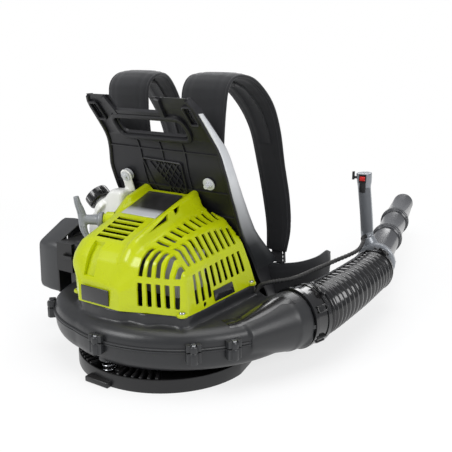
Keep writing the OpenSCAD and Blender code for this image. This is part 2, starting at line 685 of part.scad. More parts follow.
collar_s = 107;
guide_r = 15;
module rope_guide() color([0.12, 0.12, 0.13]) at_rope(0) translate([0, 0, 86]) difference() {
  union() {
    cylinder(r = guide_r, h = collar_s - 86 - 6);
    translate([0, 0, collar_s - 92]) cylinder(r = 12, h = 5);
  }
  translate([0, 0, -1]) cylinder(r = 4, h = 60);
}

module starter_rope() color([0.88, 0.88, 0.86]) at_rope(0) cylinder(r = rope_r, h = collar_s + 40);

grip_s = collar_s + 42;
grip_heart = [-112, -98, rope_z];
module starter_grip() color([0.60, 0.61, 0.63]) difference() {
  union() {
    at_rope(collar_s) cylinder(r = 12, h = 9);
    at_rope(collar_s + 9) cylinder(r1 = 9, r2 = 8, h = grip_s - collar_s - 9);
    // two arms bent away from the stem's end
    hull() {
      translate(grip_heart) sphere(9, $fn = 20);
      translate([-120, -103, rope_z + 37]) sphere(5, $fn = 20);
    }
    hull() {
      translate(grip_heart) sphere(9, $fn = 20);
      translate([-99, -92, rope_z - 25]) sphere(6, $fn = 20);
    }
  }
  at_rope(collar_s - 1) cylinder(r = rope_r + 0.02, h = 41);
}

// ---------- engine cover ----------

// One section of the cover: y at the foot, the band and the top; x at the foot; x and z of the band;
// x and z of the shoulder; z of the panel and the right ridge; x of the left wall, z of its corner;
// middle and share of the panel's width; z of the left ridge's two edges and of the slope beside it
cover_sections = [
  [57, 50, 12, 172, 138, 204, 111, 248, 288, 299, -82, 225, 0, 1, 299, 299, 257],
  [-20, -22, -32, 170, 144, 203, 118, 243, 273, 284, -82, 220, 0, 1, 284, 283, 246],
  [-72, -74, -80, 169, 150, 202, 124, 238, 258, 269, -82, 208, 0, 1, 256, 249, 232],
  [-149, -145, -150, 166, 160, 198, 136, 225, 232, 243, -80, 190, 0, 1, 230, 226, 212],
  [-158, -160, -164, 139, 142, 196, 122, 217, 221, 230, -74, 184, 1, 0.97, 218, 213, 202],
  [-165, -170, -174, 117, 112, 188, 98, 200, 207, 214, -64, 174, 2, 0.92, 205, 200, 189],
  [-191, -190, -187, 54, 54, 160, 50, 168, 170, 172, -36, 156, 9, 0.55, 169, 167, 162]];
function cover_ring(s, w) = let (
  yf = s[0] + (s[0] > 50 ? 9 * w : w), yb = s[1] + (s[0] > 50 ? 9 * w : w), yt = s[2] + (s[0] > 50 ? 9 * w : w),
  m = s[12], k = s[13], zf = plinth_top - 2 * w)
  [[s[3] - w, yf, zf], [(s[3] + s[4]) / 2 + 2 - w, (yf + yb) / 2, (zf + s[5] - w) / 2 - 2],
  [s[4] - w, yb, s[5] - w], [s[6] - w, (yb + yt) / 2, s[7] - w],
  [m + 74 * k - w, yt, (s[7] + s[8]) / 2 + 2 - w], [m + 63 * k - w, yt, s[9] - w], [m + 53 * k, yt, s[9] - w],
  [m + 43 * k, yt, s[8] - w], [m - 43 * k, yt, s[8] - w], [m - 53 * k, yt, s[14] - w],
  [m - 63 * k + w, yt, s[15] - w], [m - 74 * k + w, yt, s[16] - w], [s[10] + w, yb, s[11] - w],
  [s[10] + w, yf, zf]];

slot_w = 9;
module engine_cover() color([0.78, 0.83, 0.10]) difference() {
  skin([for (s = cover_sections) cover_ring(s, 0)]);
  skin([for (s = cover_sections) cover_ring(s, cover_wall)]);
  // three rows of slots in the right side: below the belt, over the shoulder and up the slope
  for (k = [0:8]) {
    block([90, slot_w, 50], [165, 32 - 19 * k, 168]);
    block([90, slot_w, 34], [163, 32 - 19 * k, 222]);
    block([28, slot_w, 90], [94, 26 - 18 * k, 255]);
  }
  // rows that wrap round the rear corner
  for (k = [0:4]) {
    block([slot_w, 50, 40], [150 - 15 * k, -165, 162]);
    block([slot_w, 50, 44], [150 - 15 * k, -161, 214]);
  }
  // slots across the panel
  for (k = [0:4]) block([60, slot_w - 1, 60], [-5, -86 - 13 * k, 250]);
  // long and short windows in the flank of the right ridge
  translate([72, 0, 0]) along_x(24) polygon([[-122, 249], [-66, 272], [-72, 261]]);
  translate([72, 0, 0]) along_x(24) polygon([[-51, 276], [-33, 281], [-42, 270], [-51, 267]]);
  // access hole low in the right side
  translate([171, -100, 137]) rotate([0, 90, 0]) cylinder(r = 4.5, h = 30, center = true);
  // window for the intake, and the hole for the rope guide
  block([30, 66, 44], [-80, -59, crank_z - 2]);
  at_rope(70) cylinder(r = guide_r + skin_gap, h = 44);
}

// ---------- fuel tank ----------

tank_y = 4;
cap_tilt = -48.65;
module at_cap() translate([-158.5, tank_y, 251.5]) rotate([0, cap_tilt, 0]) children();

module tank_shape(w) intersection() {
  along_y(300) polygon([[-190 + w, tank_low + w], [-92 - w, tank_low + w], [-92 - w, 285 - w],
    [-125 + w * 0.4, 285 - w], [-190 + w, 215 - w * 0.4]]);
  along_x(500) polygon([[-12 + w, tank_low + w], [60 - w, tank_low + w], [60 - w, 200], [40 - w, 245], [20 - w, 285 - w],
    [-12 + w, 285 - w]]);
}

tab_z = 11;
module fuel_tank() color([0.90, 0.90, 0.87]) difference() {
  union() {
    tank_shape(0);
    at_cap() translate([0, 0, -6]) cylinder(r = 15, h = 22);
    // tab that reaches the left upper stud
    at_stud(-1) translate([0, 0, tab_z - 1.5]) {
      cylinder(r = 14, h = 3);
      block([24, 34, 3], [0, -17, 1.5]);
    }
  }
  tank_shape(tank_wall);
  at_cap() translate([0, 0, -8]) cylinder(r = 12, h = 40);
  at_stud(-1) cylinder(r = 8, h = 40);
}

module fuel_cap() color([0.07, 0.07, 0.08]) at_cap() translate([0, 0, 4]) difference() {
  union() {
    cylinder(r = cap_r - 1.5, h = 22);
    for (a = [0:20:340]) rotate([0, 0, a]) translate([cap_r - 2, 0, 11]) cylinder(r = 2, h = 21, center = true);
    translate([0, 0, 22]) block([30, 7, 5], [0, 0, 1]);
  }
  translate([0, 0, -1]) cylinder(r = 16, h = 17.5);
}

module cap_seal() color([0.15, 0.15, 0.16]) at_cap() translate([0, 0, 16.3]) cylinder(r = 15, h = 3.9);

fuel_route = [[-104, 12, 149.3], [-104, 12, 145], [-104, 2, 139], [-100, -16, 146], [-92, -32, 160], [-80, -40, 168], [-73, -46, 169],
  [-73, -52.7, 169]];
module fuel_lines() color([0.80, 0.72, 0.45]) for (dx = [0, 6]) {
  line = smooth([for (p = fuel_route) p + [dx, 0, 0]], 3);
  skin(tube_rings(line, [for (p = line) 2.5], 8));
}

// ---------- air filter ----------

filter_seam = -198;
cover_out = -256;
cover_in = filter_seam - 1 - skin_gap;
box_low = 128;
module filter_base() color([0.13, 0.13, 0.14]) difference() {
  union() {
    block([40, 74, 57], [-178, -51, box_low + 28.5]);
    along_x_plate();
    translate([-158, intake_y, crank_z]) rotate([0, 90, 0]) cylinder(r = 12, h = 82);
    translate([-175, -89, 160]) rotate([90, 0, 0]) cylinder(r = 6, h = 5, center = true);
  }
  block([34, 68, 51], [-178 - 3, -51, box_low + 28.5]);
  translate([-161, intake_y, crank_z]) rotate([0, 90, 0]) cylinder(r = 9, h = 90);
  translate([filter_seam - 10, -48, 150]) rotate([0, 90, 0]) cylinder(r = 3, h = 14);
  translate([-175, -80, 160]) rotate([90, 0, 0]) cylinder(r = 3, h = 20);
  translate([primer_at[0], primer_at[1], box_low - 1]) cylinder(r = 3, h = 8);
}
// Plate that closes the filter cover
module along_x_plate() translate([filter_seam + 2 - 1.5, 0, 0]) along_x(3)
  polygon([[-88, 82], [-8, 82], [-8, 196], [-80, 178], [-88, 174]]);

module filter_outline(w) polygon([[-88 + w, 80 + w], [-8 - w, 80 + w], [-8 - w, 216 - w], [-82 + w, 182 - w], [-88 + w, 172 - w]]);
module filter_cover() color([0.24, 0.24, 0.25]) difference() {
  translate([(cover_out + cover_in) / 2, 0, 0]) along_x(cover_in - cover_out) filter_outline(0);
  translate([(cover_out + cover_in) / 2 + box_wall, 0, 0]) along_x(cover_in - cover_out) filter_outline(box_wall);
  translate([-262, -48, 150]) rotate([0, 90, 0]) cylinder(r = 4, h = 20);
}

module filter_element() color([0.80, 0.76, 0.62]) block([20, 66, 60], [filter_seam - 11, -48, 144]);

module filter_knob() color([0.10, 0.10, 0.11]) translate([0, -48, 150]) rotate([0, -90, 0]) {
  translate([0, 0, 256.3]) cylinder(r = 12, h = 7, $fn = 12);
  translate([0, 0, 224]) cylinder(r = 3.5, h = 33);
}

primer_at = [-178, -44];
primer_r = 8;
primer_travel = 4;
module primer_bulb() color([0.75, 0.72, 0.62]) translate([primer_at[0], primer_at[1], box_low - primer_travel - skin_gap])
  union() {
    translate([0, 0, -1.5]) cylinder(r = primer_r + 1, h = 1.5);
    difference() {
      sphere(primer_r);
      cylinder(r = primer_r + 2, h = primer_r + 2);
    }
    translate([0, 0, -1]) cylinder(r = 3 - run_gap, h = primer_travel + 4);
  }

module choke_lever() color([0.08, 0.08, 0.09]) translate([-175, 0, 160]) rotate([90, 0, 0]) {
  translate([0, 0, 84]) cylinder(r = 3 - run_gap, h = 10);
  translate([0, 0, 92]) cylinder(r = 5, h = 4);
  block([26, 6, 4], [11, 0, 94]);
}

// ---------- outlet, hose and tubes ----------

tube_start = [255, 410, seam_z];
tube_yaw = -14.9;
tube_way = [sin(tube_yaw), cos(tube_yaw), 0];
cuff_len = 44;
cuff_r = duct_r + 2;
duct_way = [sin(duct_yaw), cos(duct_yaw), 0];
// Middle of the hose from the cuff to the lower tube
hose_route = [duct_end + cuff_len * duct_way, [266.5, 130, seam_z], [267.5, 190, seam_z], [267, 262, seam_z],
  [264, 330, seam_z], tube_start - 22 * tube_way, tube_start];
hose_r_near = 52;
hose_r_far = 43;
hose_bore_near = 46;
hose_bore_far = tube_r + 3;
hose_path = smooth(hose_route, 8);
hose_len = len(hose_path) - 1;
function along(route, s) = let (x = s * (len(route) - 1), i = min(floor(x), len(route) - 2)) route[i] + (x - i) * (route[i + 1] - route[i]);
// Rings run in pairs: the crest and the valley of each rib
hose_rings = 2 * hose_ribs;
hose_centres = concat([hose_route[0], hose_route[0] + 4 * duct_way],
  [for (k = [0:hose_rings - 1]) along(hose_path, 0.06 + 0.84 * k / (hose_rings - 1))],
  [tube_start - 4 * tube_way, tube_start]);
function hose_radius(k, drop) = let (s = k / (hose_rings + 1)) hose_r_near + (hose_r_far - hose_r_near) * s - drop;
hose_outer_r = concat([hose_radius(0, 3), hose_radius(0, 3)], [for (k = [1:hose_rings]) hose_radius(k, k % 2 == 0 ? 0 : 4)],
  [hose_radius(hose_rings + 1, 3), hose_radius(hose_rings + 1, 3)]);

module flex_hose() color([0.07, 0.07, 0.08]) difference() {
  skin(tube_rings(hose_centres, hose_outer_r, 12));
  skin(tube_rings([for (k = [0:8]) along(hose_path, k / 8) + (k == 0 ? -3 * duct_way : k == 8 ? 3 * tube_way : [0, 0, 0])],
    [for (k = [0:8]) (hose_bore_near + (hose_bore_far - hose_bore_near) * k / 8)], 12));
}

module hose_cuff() color([0.15, 0.15, 0.16]) at_duct() difference() {
  union() {
    cylinder(r = cuff_r, h = cuff_len);
    cylinder(r = cuff_r + 2, h = 8);
    // lugs on the inner and outer side
    for (a = [30, 150, 210, 330]) rotate([0, 0, a]) block([8, 12, 24], [cuff_r + 2, 0, 18]);
  }
  translate([0, 0, -1]) cylinder(r = duct_r - housing_wall, h = cuff_len + 2);
}

module clamp_band(r, w) {
  ring(r + 1.5, r, w);
  // ears and screw
  translate([r + 5, 0, w / 2]) block([10, 4, w], [0, -4, 0]);
  translate([r + 5, 0, w / 2]) block([10, 4, w], [0, 4, 0]);
  translate([r + 6, -10, w / 2]) rotate([-90, 0, 0]) cylinder(r = 2, h = 20);
}
module hose_clamp_rear() color([0.10, 0.10, 0.11]) at_duct() rotate([0, 0, -60])
  translate([0, 0, cuff_len - 10]) clamp_band(cuff_r + run_gap, 8);

module on_tube(t) translate(tube_start) rotate([-90, 0, -tube_yaw]) translate([0, 0, t]) children();
tube_joint_1 = 262;
tube_joint_2 = 448;
tube_bore = tube_r - tube_wall;
module tube_end(t) on_tube(t) difference() {
  union() {
    ring(tube_r + 5.5, tube_bore, 8);
    translate([0, 0, -12]) ring(tube_r + 4, tube_r - 1, 12);
  }
  for (a = [0:30:330]) rotate([0, 0, a]) translate([tube_r + 6, 0, 4]) cylinder(r = 1.2, h = 10, center = true, $fn = 16);
}

module lower_tube() color([0.13, 0.13, 0.14]) union() {
  on_tube(-18) ring(tube_r, tube_bore, tube_joint_1 + 18);
  tube_end(tube_joint_1 - 8.3);
  on_tube(skin_gap) ring(tube_r + 8, tube_r - 1, 4);
}
module middle_tube() color([0.15, 0.15, 0.16]) union() {
  on_tube(tube_joint_1 + 0.3) ring(tube_r, tube_bore, tube_joint_2 - tube_joint_1 - 0.3);
  on_tube(tube_joint_1 - 24) ring(tube_bore - run_gap, tube_bore - 2, 26);
  on_tube(tube_joint_1 + 0.3) ring(tube_r + 5, tube_r - 1, 7);
  tube_end(tube_joint_2 - 8.3);
}
tip_r = 29;
module nozzle_tube() color([0.13, 0.13, 0.14]) union() {
  on_tube(tube_joint_2 + 0.3) difference() {
    cylinder(r1 = tube_r, r2 = tip_r, h = nozzle_len);
    translate([0, 0, -1]) cylinder(r1 = tube_r - tube_wall, r2 = tip_r - tube_wall, h = nozzle_len - 29);
    translate([0, 0, nozzle_len - 31]) cylinder(r = tip_r - tube_wall, h = 40);
  }
  on_tube(tube_joint_2 - 24) ring(tube_bore - run_gap, tube_bore - 2, 26);
  on_tube(tube_joint_2 + 0.3) ring(tube_r + 5, tube_r - 1, 7);
}

module hose_clamp_front() color([0.10, 0.10, 0.11]) on_tube(-24) rotate([0, 0, -60]) clamp_band(hose_r_far + 1.8, 8);

// Throttle cable from the fan housing, over the hose, to the handle
cable_route = [[181, 38, 118], [184, 48, 130], [201, 56, 138], [232, 86, 143], [240, 150, 143], [241, 235, 138],
  [244, 341, 134], [228, 412, 134], [215, 440, 134], [212, 452, 134], [212, 462.6, 134]];
cable_path = smooth(cable_route, 6);
cable_ribs = 48;
cable_rings = 2 * cable_ribs;
module throttle_cable() color([0.08, 0.08, 0.09]) skin(tube_rings(
  [for (k = [0:cable_rings]) along(cable_path, k / cable_rings)],
  [for (k = [0:cable_rings]) k % 2 == 0 || k < 2 || k > cable_rings - 3 ? cable_r : cable_r - 1], 8));

// ---------- control handle ----------

// The handle stands on the tube: x inboard, z up from the tube's axis
stem_foot = [-24, 77, 40];
stem_top = [-38, 80, 172];
module on_handle() translate(tube_start) rotate([0, 0, -tube_yaw]) children();
clamp_t = 38;
trigger_pivot = stem_top + [-3, 13, 12];
pin_r = 1.5;

module handle_shell() difference() {
  union() {
    on_handle() {
      hull() {
        translate(stem_foot) rotate([0, -6, 0]) cylinder(r = 15, h = 6, $fn = 24);
        translate([-16, 62, 33]) sphere(14, $fn = 16);
      }
      hull() {
        translate(stem_foot) cylinder(r = 15, h = 6, $fn = 24);
        translate(stem_top) cylinder(r = 15, h = 6, $fn = 24);
      }
      translate(stem_top + [-1, 0, 0]) rotate([0, -6, 0]) cylinder(r = 18, h = 26);
    }
    on_tube(clamp_t) cylinder(r1 = tube_r + 12, r2 = tube_r + 4, h = 36);
  }
  on_tube(clamp_t - 5) cylinder(r = tube_r + skin_gap, h = 46);
  // seat for the switch, slot for the trigger, channel for the cable
  on_handle() {
    translate(stem_top + [-3, -18, 14]) cube([13, 12, 15], center = true);
    translate(stem_top + [-3, 18, -6.5]) cube([10.6, 26, 47], center = true);
    translate(stem_top + [-18, -3, 14]) rotate([0, 90, 0]) cylinder(r = 3 + run_gap, h = 20, center = true);
  }
}
module handle_body() color([0.62, 0.64, 0.66]) {
  handle_shell();
  // pin of the trigger
  on_handle() translate(trigger_pivot) rotate([0, 90, 0]) cylinder(r = pin_r, h = 16, center = true);
}

module handle_grip() color([0.05, 0.05, 0.06]) on_handle() difference() {
  hull() {
    translate(stem_foot + [-1, -4, 22]) cylinder(r = 14.6, h = 2, $fn = 24);
    translate(stem_top + [0, -4, -6]) cylinder(r = 14.6, h = 2, $fn = 24);
  }
  hull() {
    translate(stem_foot) cylinder(r = 15.1, h = 6, $fn = 24);
    translate(stem_top) cylinder(r = 15.1, h = 6, $fn = 24);
  }
}

module throttle_trigger() color([0.06, 0.06, 0.07]) on_handle() translate(trigger_pivot) difference() {
  union() {
    rotate([0, 90, 0]) cylinder(r = 4, h = 10, center = true);
    block([10, 12, 9], [0, 6, -4]);
    block([10, 5, 34], [0, 11, -20]);
  }
  rotate([0, 90, 0]) cylinder(r = pin_r + run_gap, h = 20, center = true);
}

module cruise_lever() color([0.08, 0.08, 0.09]) on_handle() translate(stem_top + [-19, -3, 14]) union() {
  rotate([0, 90, 0]) cylinder(r = 3, h = 18, center = true);
  translate([-6.5, 0, 4]) cube([5, 8, 18], center = true);
}

module stop_switch() color([0.80, 0.07, 0.07]) on_handle() translate(stem_top + [-3, -18, 14]) union() {
  rotate([0, 90, 0]) cylinder(r = 5, h = 12.4, center = true);
  block([12.4, 5, 9], [0, -2, 0]);
}

base_foot();
backplate();
side_trims();
backplate_bolts();
isolator_mounts();
coil_springs();
shoulder_strap_right();
shoulder_strap_left();
back_pad();
hip_pads();
strap_webbing();
strap_buckles();
volute_lower();
volute_upper();
case_screws();
intake_guard();
engine_cover();
crankcase();
cylinder_node();  // cylinder
spark_plug();
plug_boot();
ignition_coil();
muffler();
insulator_block();
carburettor();
filter_base();
filter_element();
starter_housing();
rope_guide();
fuel_tank();
fuel_lines();
hose_cuff();
hose_clamp_rear();
main_bearings();
crankshaft();
flywheel();
impeller();
piston();
connecting_rod();
starter_grip();
starter_rope();
starter_pulley();
fuel_cap();
cap_seal();
primer_bulb();
choke_lever();
throttle_shaft();
filter_cover();
filter_knob();
flex_hose();
throttle_cable();
lower_tube();
hose_clamp_front();
middle_tube();
nozzle_tube();
handle_body();
handle_grip();
throttle_trigger();
cruise_lever();
stop_switch();
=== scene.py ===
import bpy
import bmesh
from math import atan2, cos, degrees, pi, radians, sin, sqrt
from mathutils import Matrix, Vector
from mathutils.bvhtree import BVHTree


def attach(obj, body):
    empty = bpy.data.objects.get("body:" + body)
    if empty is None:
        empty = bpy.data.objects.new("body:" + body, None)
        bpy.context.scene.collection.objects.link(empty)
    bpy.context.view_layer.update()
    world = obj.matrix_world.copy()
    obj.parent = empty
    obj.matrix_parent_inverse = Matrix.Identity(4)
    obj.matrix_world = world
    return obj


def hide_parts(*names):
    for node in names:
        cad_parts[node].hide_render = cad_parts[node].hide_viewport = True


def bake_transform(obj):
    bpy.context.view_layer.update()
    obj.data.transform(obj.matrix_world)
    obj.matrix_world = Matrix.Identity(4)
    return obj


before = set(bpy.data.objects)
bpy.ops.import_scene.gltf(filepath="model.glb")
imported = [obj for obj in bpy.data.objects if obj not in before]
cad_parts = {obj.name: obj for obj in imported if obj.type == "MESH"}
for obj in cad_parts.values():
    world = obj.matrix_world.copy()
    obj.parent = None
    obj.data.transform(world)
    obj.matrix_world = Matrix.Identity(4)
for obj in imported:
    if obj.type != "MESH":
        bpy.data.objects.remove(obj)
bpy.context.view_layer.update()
scene = bpy.context.scene

# Lengths are in millimetres here, and meshes are made in metres
MM = 0.001


# ---------- curves and outlines ----------

def curve_point(a, b, c, d, s):
    """A point on a smooth curve through b and c, at share s of the way."""
    return 0.5 * ((2 * b) + (c - a) * s + (2 * a - 5 * b + 4 * c - d) * s * s
                  + (3 * b - a - 3 * c + d) * s * s * s)


def smooth_path(route, steps):
    """A smooth curve through every point of a route, as the solids' source makes it."""
    points = [Vector(p) for p in route]
    last = len(points) - 1
    path = []
    for i in range(last):
        near = points[max(i - 1, 0)]
        far = points[min(i + 2, last)]
        path += [curve_point(near, points[i], points[i + 1], far, k / steps) for k in range(steps)]
    return path + [points[last]]


def heading(path, i):
    return (path[min(i + 1, len(path) - 1)] - path[max(i - 1, 0)]).normalized()


def lookup(x, table):
    """Straight lines between (key, value) pairs, held at both ends."""
    table = sorted(table)
    if x <= table[0][0]:
        return table[0][1]
    for (x0, y0), (x1, y1) in zip(table, table[1:]):
        if x <= x1:
            return y0 + (y1 - y0) * (x - x0) / (x1 - x0)
    return table[-1][1]


def smooth_step(x):
    x = min(max(x, 0.0), 1.0)
    return x * x * (3 - 2 * x)


def rounded_outline(corners, radius, steps=4):
    """A closed outline with each corner cut to an arc-like curve of about this radius."""
    points = []
    count = len(corners)
    for i in range(count):
        before, here, after = (Vector(corners[(i + k) % count]) for k in (-1, 0, 1))
        reach_in = min(radius, (before - here).length * 0.45)
        reach_out = min(radius, (after - here).length * 0.45)
        start = here + (before - here).normalized() * reach_in
        end = here + (after - here).normalized() * reach_out
        for k in range(steps + 1):
            s = k / steps
            points.append(start.lerp(here, s).lerp(here.lerp(end, s), s))
    return points


def circle(radius, sides, start=0.0):
    return [(radius * cos(start + 2 * pi * i / sides), radius * sin(start + 2 * pi * i / sides))
            for i in range(sides)]


# ---------- meshes ----------

def new_piece(name, points, faces, sharp=35):
    """A mesh object from points in millimetres, with edges sharper than the angle kept sharp."""
    mesh = bpy.data.meshes.new(name)
    mesh.from_pydata([Vector(p) * MM for p in points], [], faces)
    piece = bpy.data.objects.new(name, mesh)
    scene.collection.objects.link(piece)
    tidy_normals(piece)
    shade(piece, sharp)
    return piece


def tidy_normals(piece):
    work = bmesh.new()
    work.from_mesh(piece.data)
    bmesh.ops.remove_doubles(work, verts=work.verts, dist=1e-6)
    bmesh.ops.recalc_face_normals(work, faces=work.faces)
    work.to_mesh(piece.data)
    work.free()


def shade(piece, sharp=35):
    piece.data.shade_smooth()
    piece.data.set_sharp_from_angle(angle=radians(sharp))


def loft(name, rings, caps=True, closed=True, sharp=35):
    """A skin through rings of points; closed says whether each ring joins its own start."""
    count = len(rings[0])
    points = [p for ring in rings for p in ring]
    sides = count if closed else count - 1
    faces = []
    for k in range(len(rings) - 1):
        for i in range(sides):
            j = (i + 1) % count
            faces.append((k * count + i, k * count + j, (k + 1) * count + j, (k + 1) * count + i))
    if caps and closed:
        faces.append(tuple(range(count)))
        faces.append(tuple((len(rings) - 1) * count + i for i in range(count)))
    return new_piece(name, points, faces, sharp)


def sweep(name, path, section, caps=True, closed=True, side=None, sharp=35):
    """Moves a section along a path; section(i) gives (across, up) pairs for point i."""
    rings = []
    for i, middle in enumerate(path):
        way = heading(path, i)
        across = Vector(side).normalized() if side else Vector((0, 0, 1)).cross(way).normalized()
        up = way.cross(across).normalized()
        rings.append([middle + across * a + up * b for a, b in section(i)])
    return loft(name, rings, caps, closed, sharp)


def tube(name, path, radius, sides=24, caps=True):
    size = radius if callable(radius) else lambda i: radius
    return sweep(name, path, lambda i: circle(size(i), sides), caps)


def rod(name, start, end, radius, sides):
    """A straight round bar between two points."""
    start, end = Vector(start), Vector(end)
    return tube(name, [start, (start + end) / 2, end], radius, sides)


def turned(name, profile, sides=48, sharp=35, swell=None):
    """A body turned about Z from (radius, height) pairs; a radius of 0 closes it.

    swell gives what is added to a radius, from the radius, the height and the angle, for an open body.
    """
    rings = []
    for r, z in profile:
        angles = [2 * pi * k / sides for k in range(sides)]
        radii = [r + swell(r, z, a) if swell else r for a in angles]
        rings.append([(size * cos(a), size * sin(a), z) for size, a in zip(radii, angles)])
    hollow = profile[0][0] > 0 and profile[-1][0] > 0
    if hollow and not swell:
        rings.append(rings[0])
    return loft(name, rings, caps=False, sharp=sharp)


def prism(name, outline, low, high, sharp=35):
    """An outline in X and Y, drawn up from low to high."""
    return loft(name, [[(x, y, z) for x, y in outline] for z in (low, high)], sharp=sharp)


def moved(piece, matrix):
    piece.data.transform(matrix)
    if matrix.determinant() < 0:
        tidy_normals(piece)
    return piece


def translation(x, y, z=0):
    return Matrix.Translation(Vector((x, y, z)) * MM)


def rotation(angle, axis="Z"):
    return Matrix.Rotation(radians(angle), 4, axis)


def twin(piece):
    """A copy of a piece with a mesh of its own."""
    copy = piece.copy()
    copy.data = piece.data.copy()
    scene.collection.objects.link(copy)
    return copy


def mirrored(piece):
    """The piece on the other side of the middle plane."""
    return moved(piece, Matrix.Scale(-1, 4, (1, 0, 0)))


def join(name, pieces, sharp=35):
    """One mesh from several, whose own objects go."""
    work = bmesh.new()
    for piece in pieces:
        work.from_mesh(piece.data)
    mesh = bpy.data.meshes.new(name)
    work.to_mesh(mesh)
    work.free()
    for piece in pieces:
        bpy.data.objects.remove(piece)
    joined = bpy.data.objects.new(name, mesh)
    scene.collection.objects.link(joined)
    shade(joined, sharp)
    return joined


def both_sides(name, parts, sharp=35):
    """One mesh from the parts on the right and their mirror images."""
    right = join(name + "_right", parts, sharp)
    return join(name, [right, mirrored(twin(right))], sharp)


def bake(piece, sharp=35):
    """Turns a piece's modifiers into its mesh."""
    graph = bpy.context.evaluated_depsgraph_get()
    mesh = bpy.data.meshes.new_from_object(piece.evaluated_get(graph))
    piece.modifiers.clear()
    piece.data = mesh
    shade(piece, sharp)
    return piece


def bevelled(piece, width, segments=2, angle=30, sharp=35):
    bevel = piece.modifiers.new("bevel", "BEVEL")
    bevel.width = width * MM
    bevel.segments = segments
    bevel.limit_method = "ANGLE"
    bevel.angle_limit = radians(angle)
    bevel.use_clamp_overlap = True
    return bake(piece, sharp)


def cut(piece, cutters, sharp=35):
    """Takes the cutters out of a piece."""
    for cutter in cutters:
        boolean = piece.modifiers.new("cut", "BOOLEAN")
        boolean.operation = "DIFFERENCE"
        boolean.solver = "EXACT"
        boolean.object = cutter
    bake(piece, sharp)
    for cutter in cutters:
        bpy.data.objects.remove(cutter)
    return piece


def melted(piece, voxel, passes, sharp=60):
    """Welds overlapping solids into one skin with soft corners."""
    remesh = piece.modifiers.new("remesh", "REMESH")
    remesh.mode = "VOXEL"
    remesh.voxel_size = voxel * MM
    soften = piece.modifiers.new("soften", "SMOOTH")
    soften.factor = 0.5
    soften.iterations = passes
    return bake(piece, sharp)


def box(name, size, at, radius=0.0):
    x, y, z = (s / 2 for s in size)
    points = [(sx * x, sy * y, sz * z) for sz in (-1, 1) for sx, sy in ((-1, -1), (1, -1), (1, 1), (-1, 1))]
    faces = [(0, 1, 2, 3), (4, 5, 6, 7), (0, 1, 5, 4), (1, 2, 6, 5), (2, 3, 7, 6), (3, 0, 4, 7)]
    piece = new_piece(name, points, faces)
    if radius:
        bevelled(piece, radius, 3)
    return moved(piece, translation(*at))


def put(piece, material, body, slot, *nodes, bend=None):
    """Gives a piece its finish, the body it rides on, and the solids it stands for.

    bend, when given, leaves the piece on no body, with its place baked into its mesh; its start and end are
    not used.
    """
    piece.data.materials.clear()
    piece.data.materials.append(material)
    if bend is None:
        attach(piece, body)
    else:
        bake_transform(piece)
    if nodes:
        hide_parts(*nodes)
    return piece


# ---------- camera, floor and light ----------

def set_camera():
    data = bpy.data.cameras.new("camera")
    data.sensor_width = 36
    data.lens = 55.75
    camera = bpy.data.objects.new("camera", data)
    camera.location = (0.809352, -0.991224, 0.556092)
    camera.rotation_euler = (radians(75.5), 0, radians(34))
    scene.collection.objects.link(camera)
    scene.camera = camera


def feed(tree, value, socket):
    """Gives a socket a plain value, or the output of another node."""
    if isinstance(value, bpy.types.NodeSocket):
        tree.links.new(value, socket)
    else:
        socket.default_value = value


def math_node(tree, operation, *values, clamp=False):
    node = tree.nodes.new("ShaderNodeMath")
    node.operation = operation
    node.use_clamp = clamp
    for value, socket in zip(values, node.inputs):
        feed(tree, value, socket)
    return node.outputs[0]


def map_range(tree, value, low, high, start=0.0, end=1.0):
    """Maps start..end onto low..high."""
    node = tree.nodes.new("ShaderNodeMapRange")
    for name, number in (("From Min", start), ("From Max", end), ("To Min", low), ("To Max", high)):
        node.inputs[name].default_value = number
    tree.links.new(value, node.inputs["Value"])
    return node.outputs[0]


def mix_shaders(tree, share, first, second):
    mix = tree.nodes.new("ShaderNodeMixShader")
    for value, socket in zip((share, first, second), mix.inputs):
        tree.links.new(value, socket)
    return mix.outputs[0]


def show_white(tree, shader, share):
    """Mixes a shader with plain white for rays that see it directly or in a reflection."""
    ray = tree.nodes.new("ShaderNodeLightPath").outputs
    seen = math_node(tree, "MAXIMUM", ray["Is Camera Ray"], ray["Is Glossy Ray"])
    through = math_node(tree, "MAXIMUM", seen, ray["Is Transmission Ray"])
    white = tree.nodes.new("ShaderNodeEmission").outputs[0]
    return mix_shaders(tree, math_node(tree, "MULTIPLY", through, share), shader, white)


def make_floor():
    half = 6.0
    corners = [(-half, -half, 0), (half, -half, 0), (half, half, 0), (-half, half, 0)]
    mesh = bpy.data.meshes.new("floor")
    mesh.from_pydata(corners, [], [(0, 1, 2, 3)])
    floor = bpy.data.objects.new("floor", mesh)
    floor.location.z = -0.0005
    scene.collection.objects.link(floor)
    material, tree, paper = start_material("pale_floor", 0.9, 0.0, 0.0, 0.1)
    paper.inputs["Base Color"].default_value = (0.86, 0.86, 0.86, 1)
    # plain white away from the object, with the object's shadow close to it
    reach = tree.nodes.new("ShaderNodeVectorMath")
    reach.operation = "LENGTH"
    tree.links.new(object_place(tree), reach.inputs[0])
    share = map_range(tree, reach.outputs["Value"], 0.74, 1.0, 0.35, 1.5)
    surface = tree.nodes["Material Output"].inputs["Surface"]
    tree.links.new(show_white(tree, paper.outputs[0], share), surface)
    mesh.materials.append(material)


def set_world():
    world = bpy.data.worlds.new("studio")
    world.use_nodes = True
    tree = world.node_tree
    background = tree.nodes["Background"]
    background.inputs["Color"].default_value = (0.93, 0.95, 1.0, 1)
    background.inputs["Strength"].default_value = 0.42
    white = tree.nodes.new("ShaderNodeBackground")
    white.inputs["Color"].default_value = (1, 1, 1, 1)
    seen = tree.nodes.new("ShaderNodeLightPath").outputs["Is Camera Ray"]
    surface = tree.nodes["World Output"].inputs["Surface"]
    tree.links.new(mix_shaders(tree, seen, background.outputs[0], white.outputs[0]), surface)
    scene.world = world


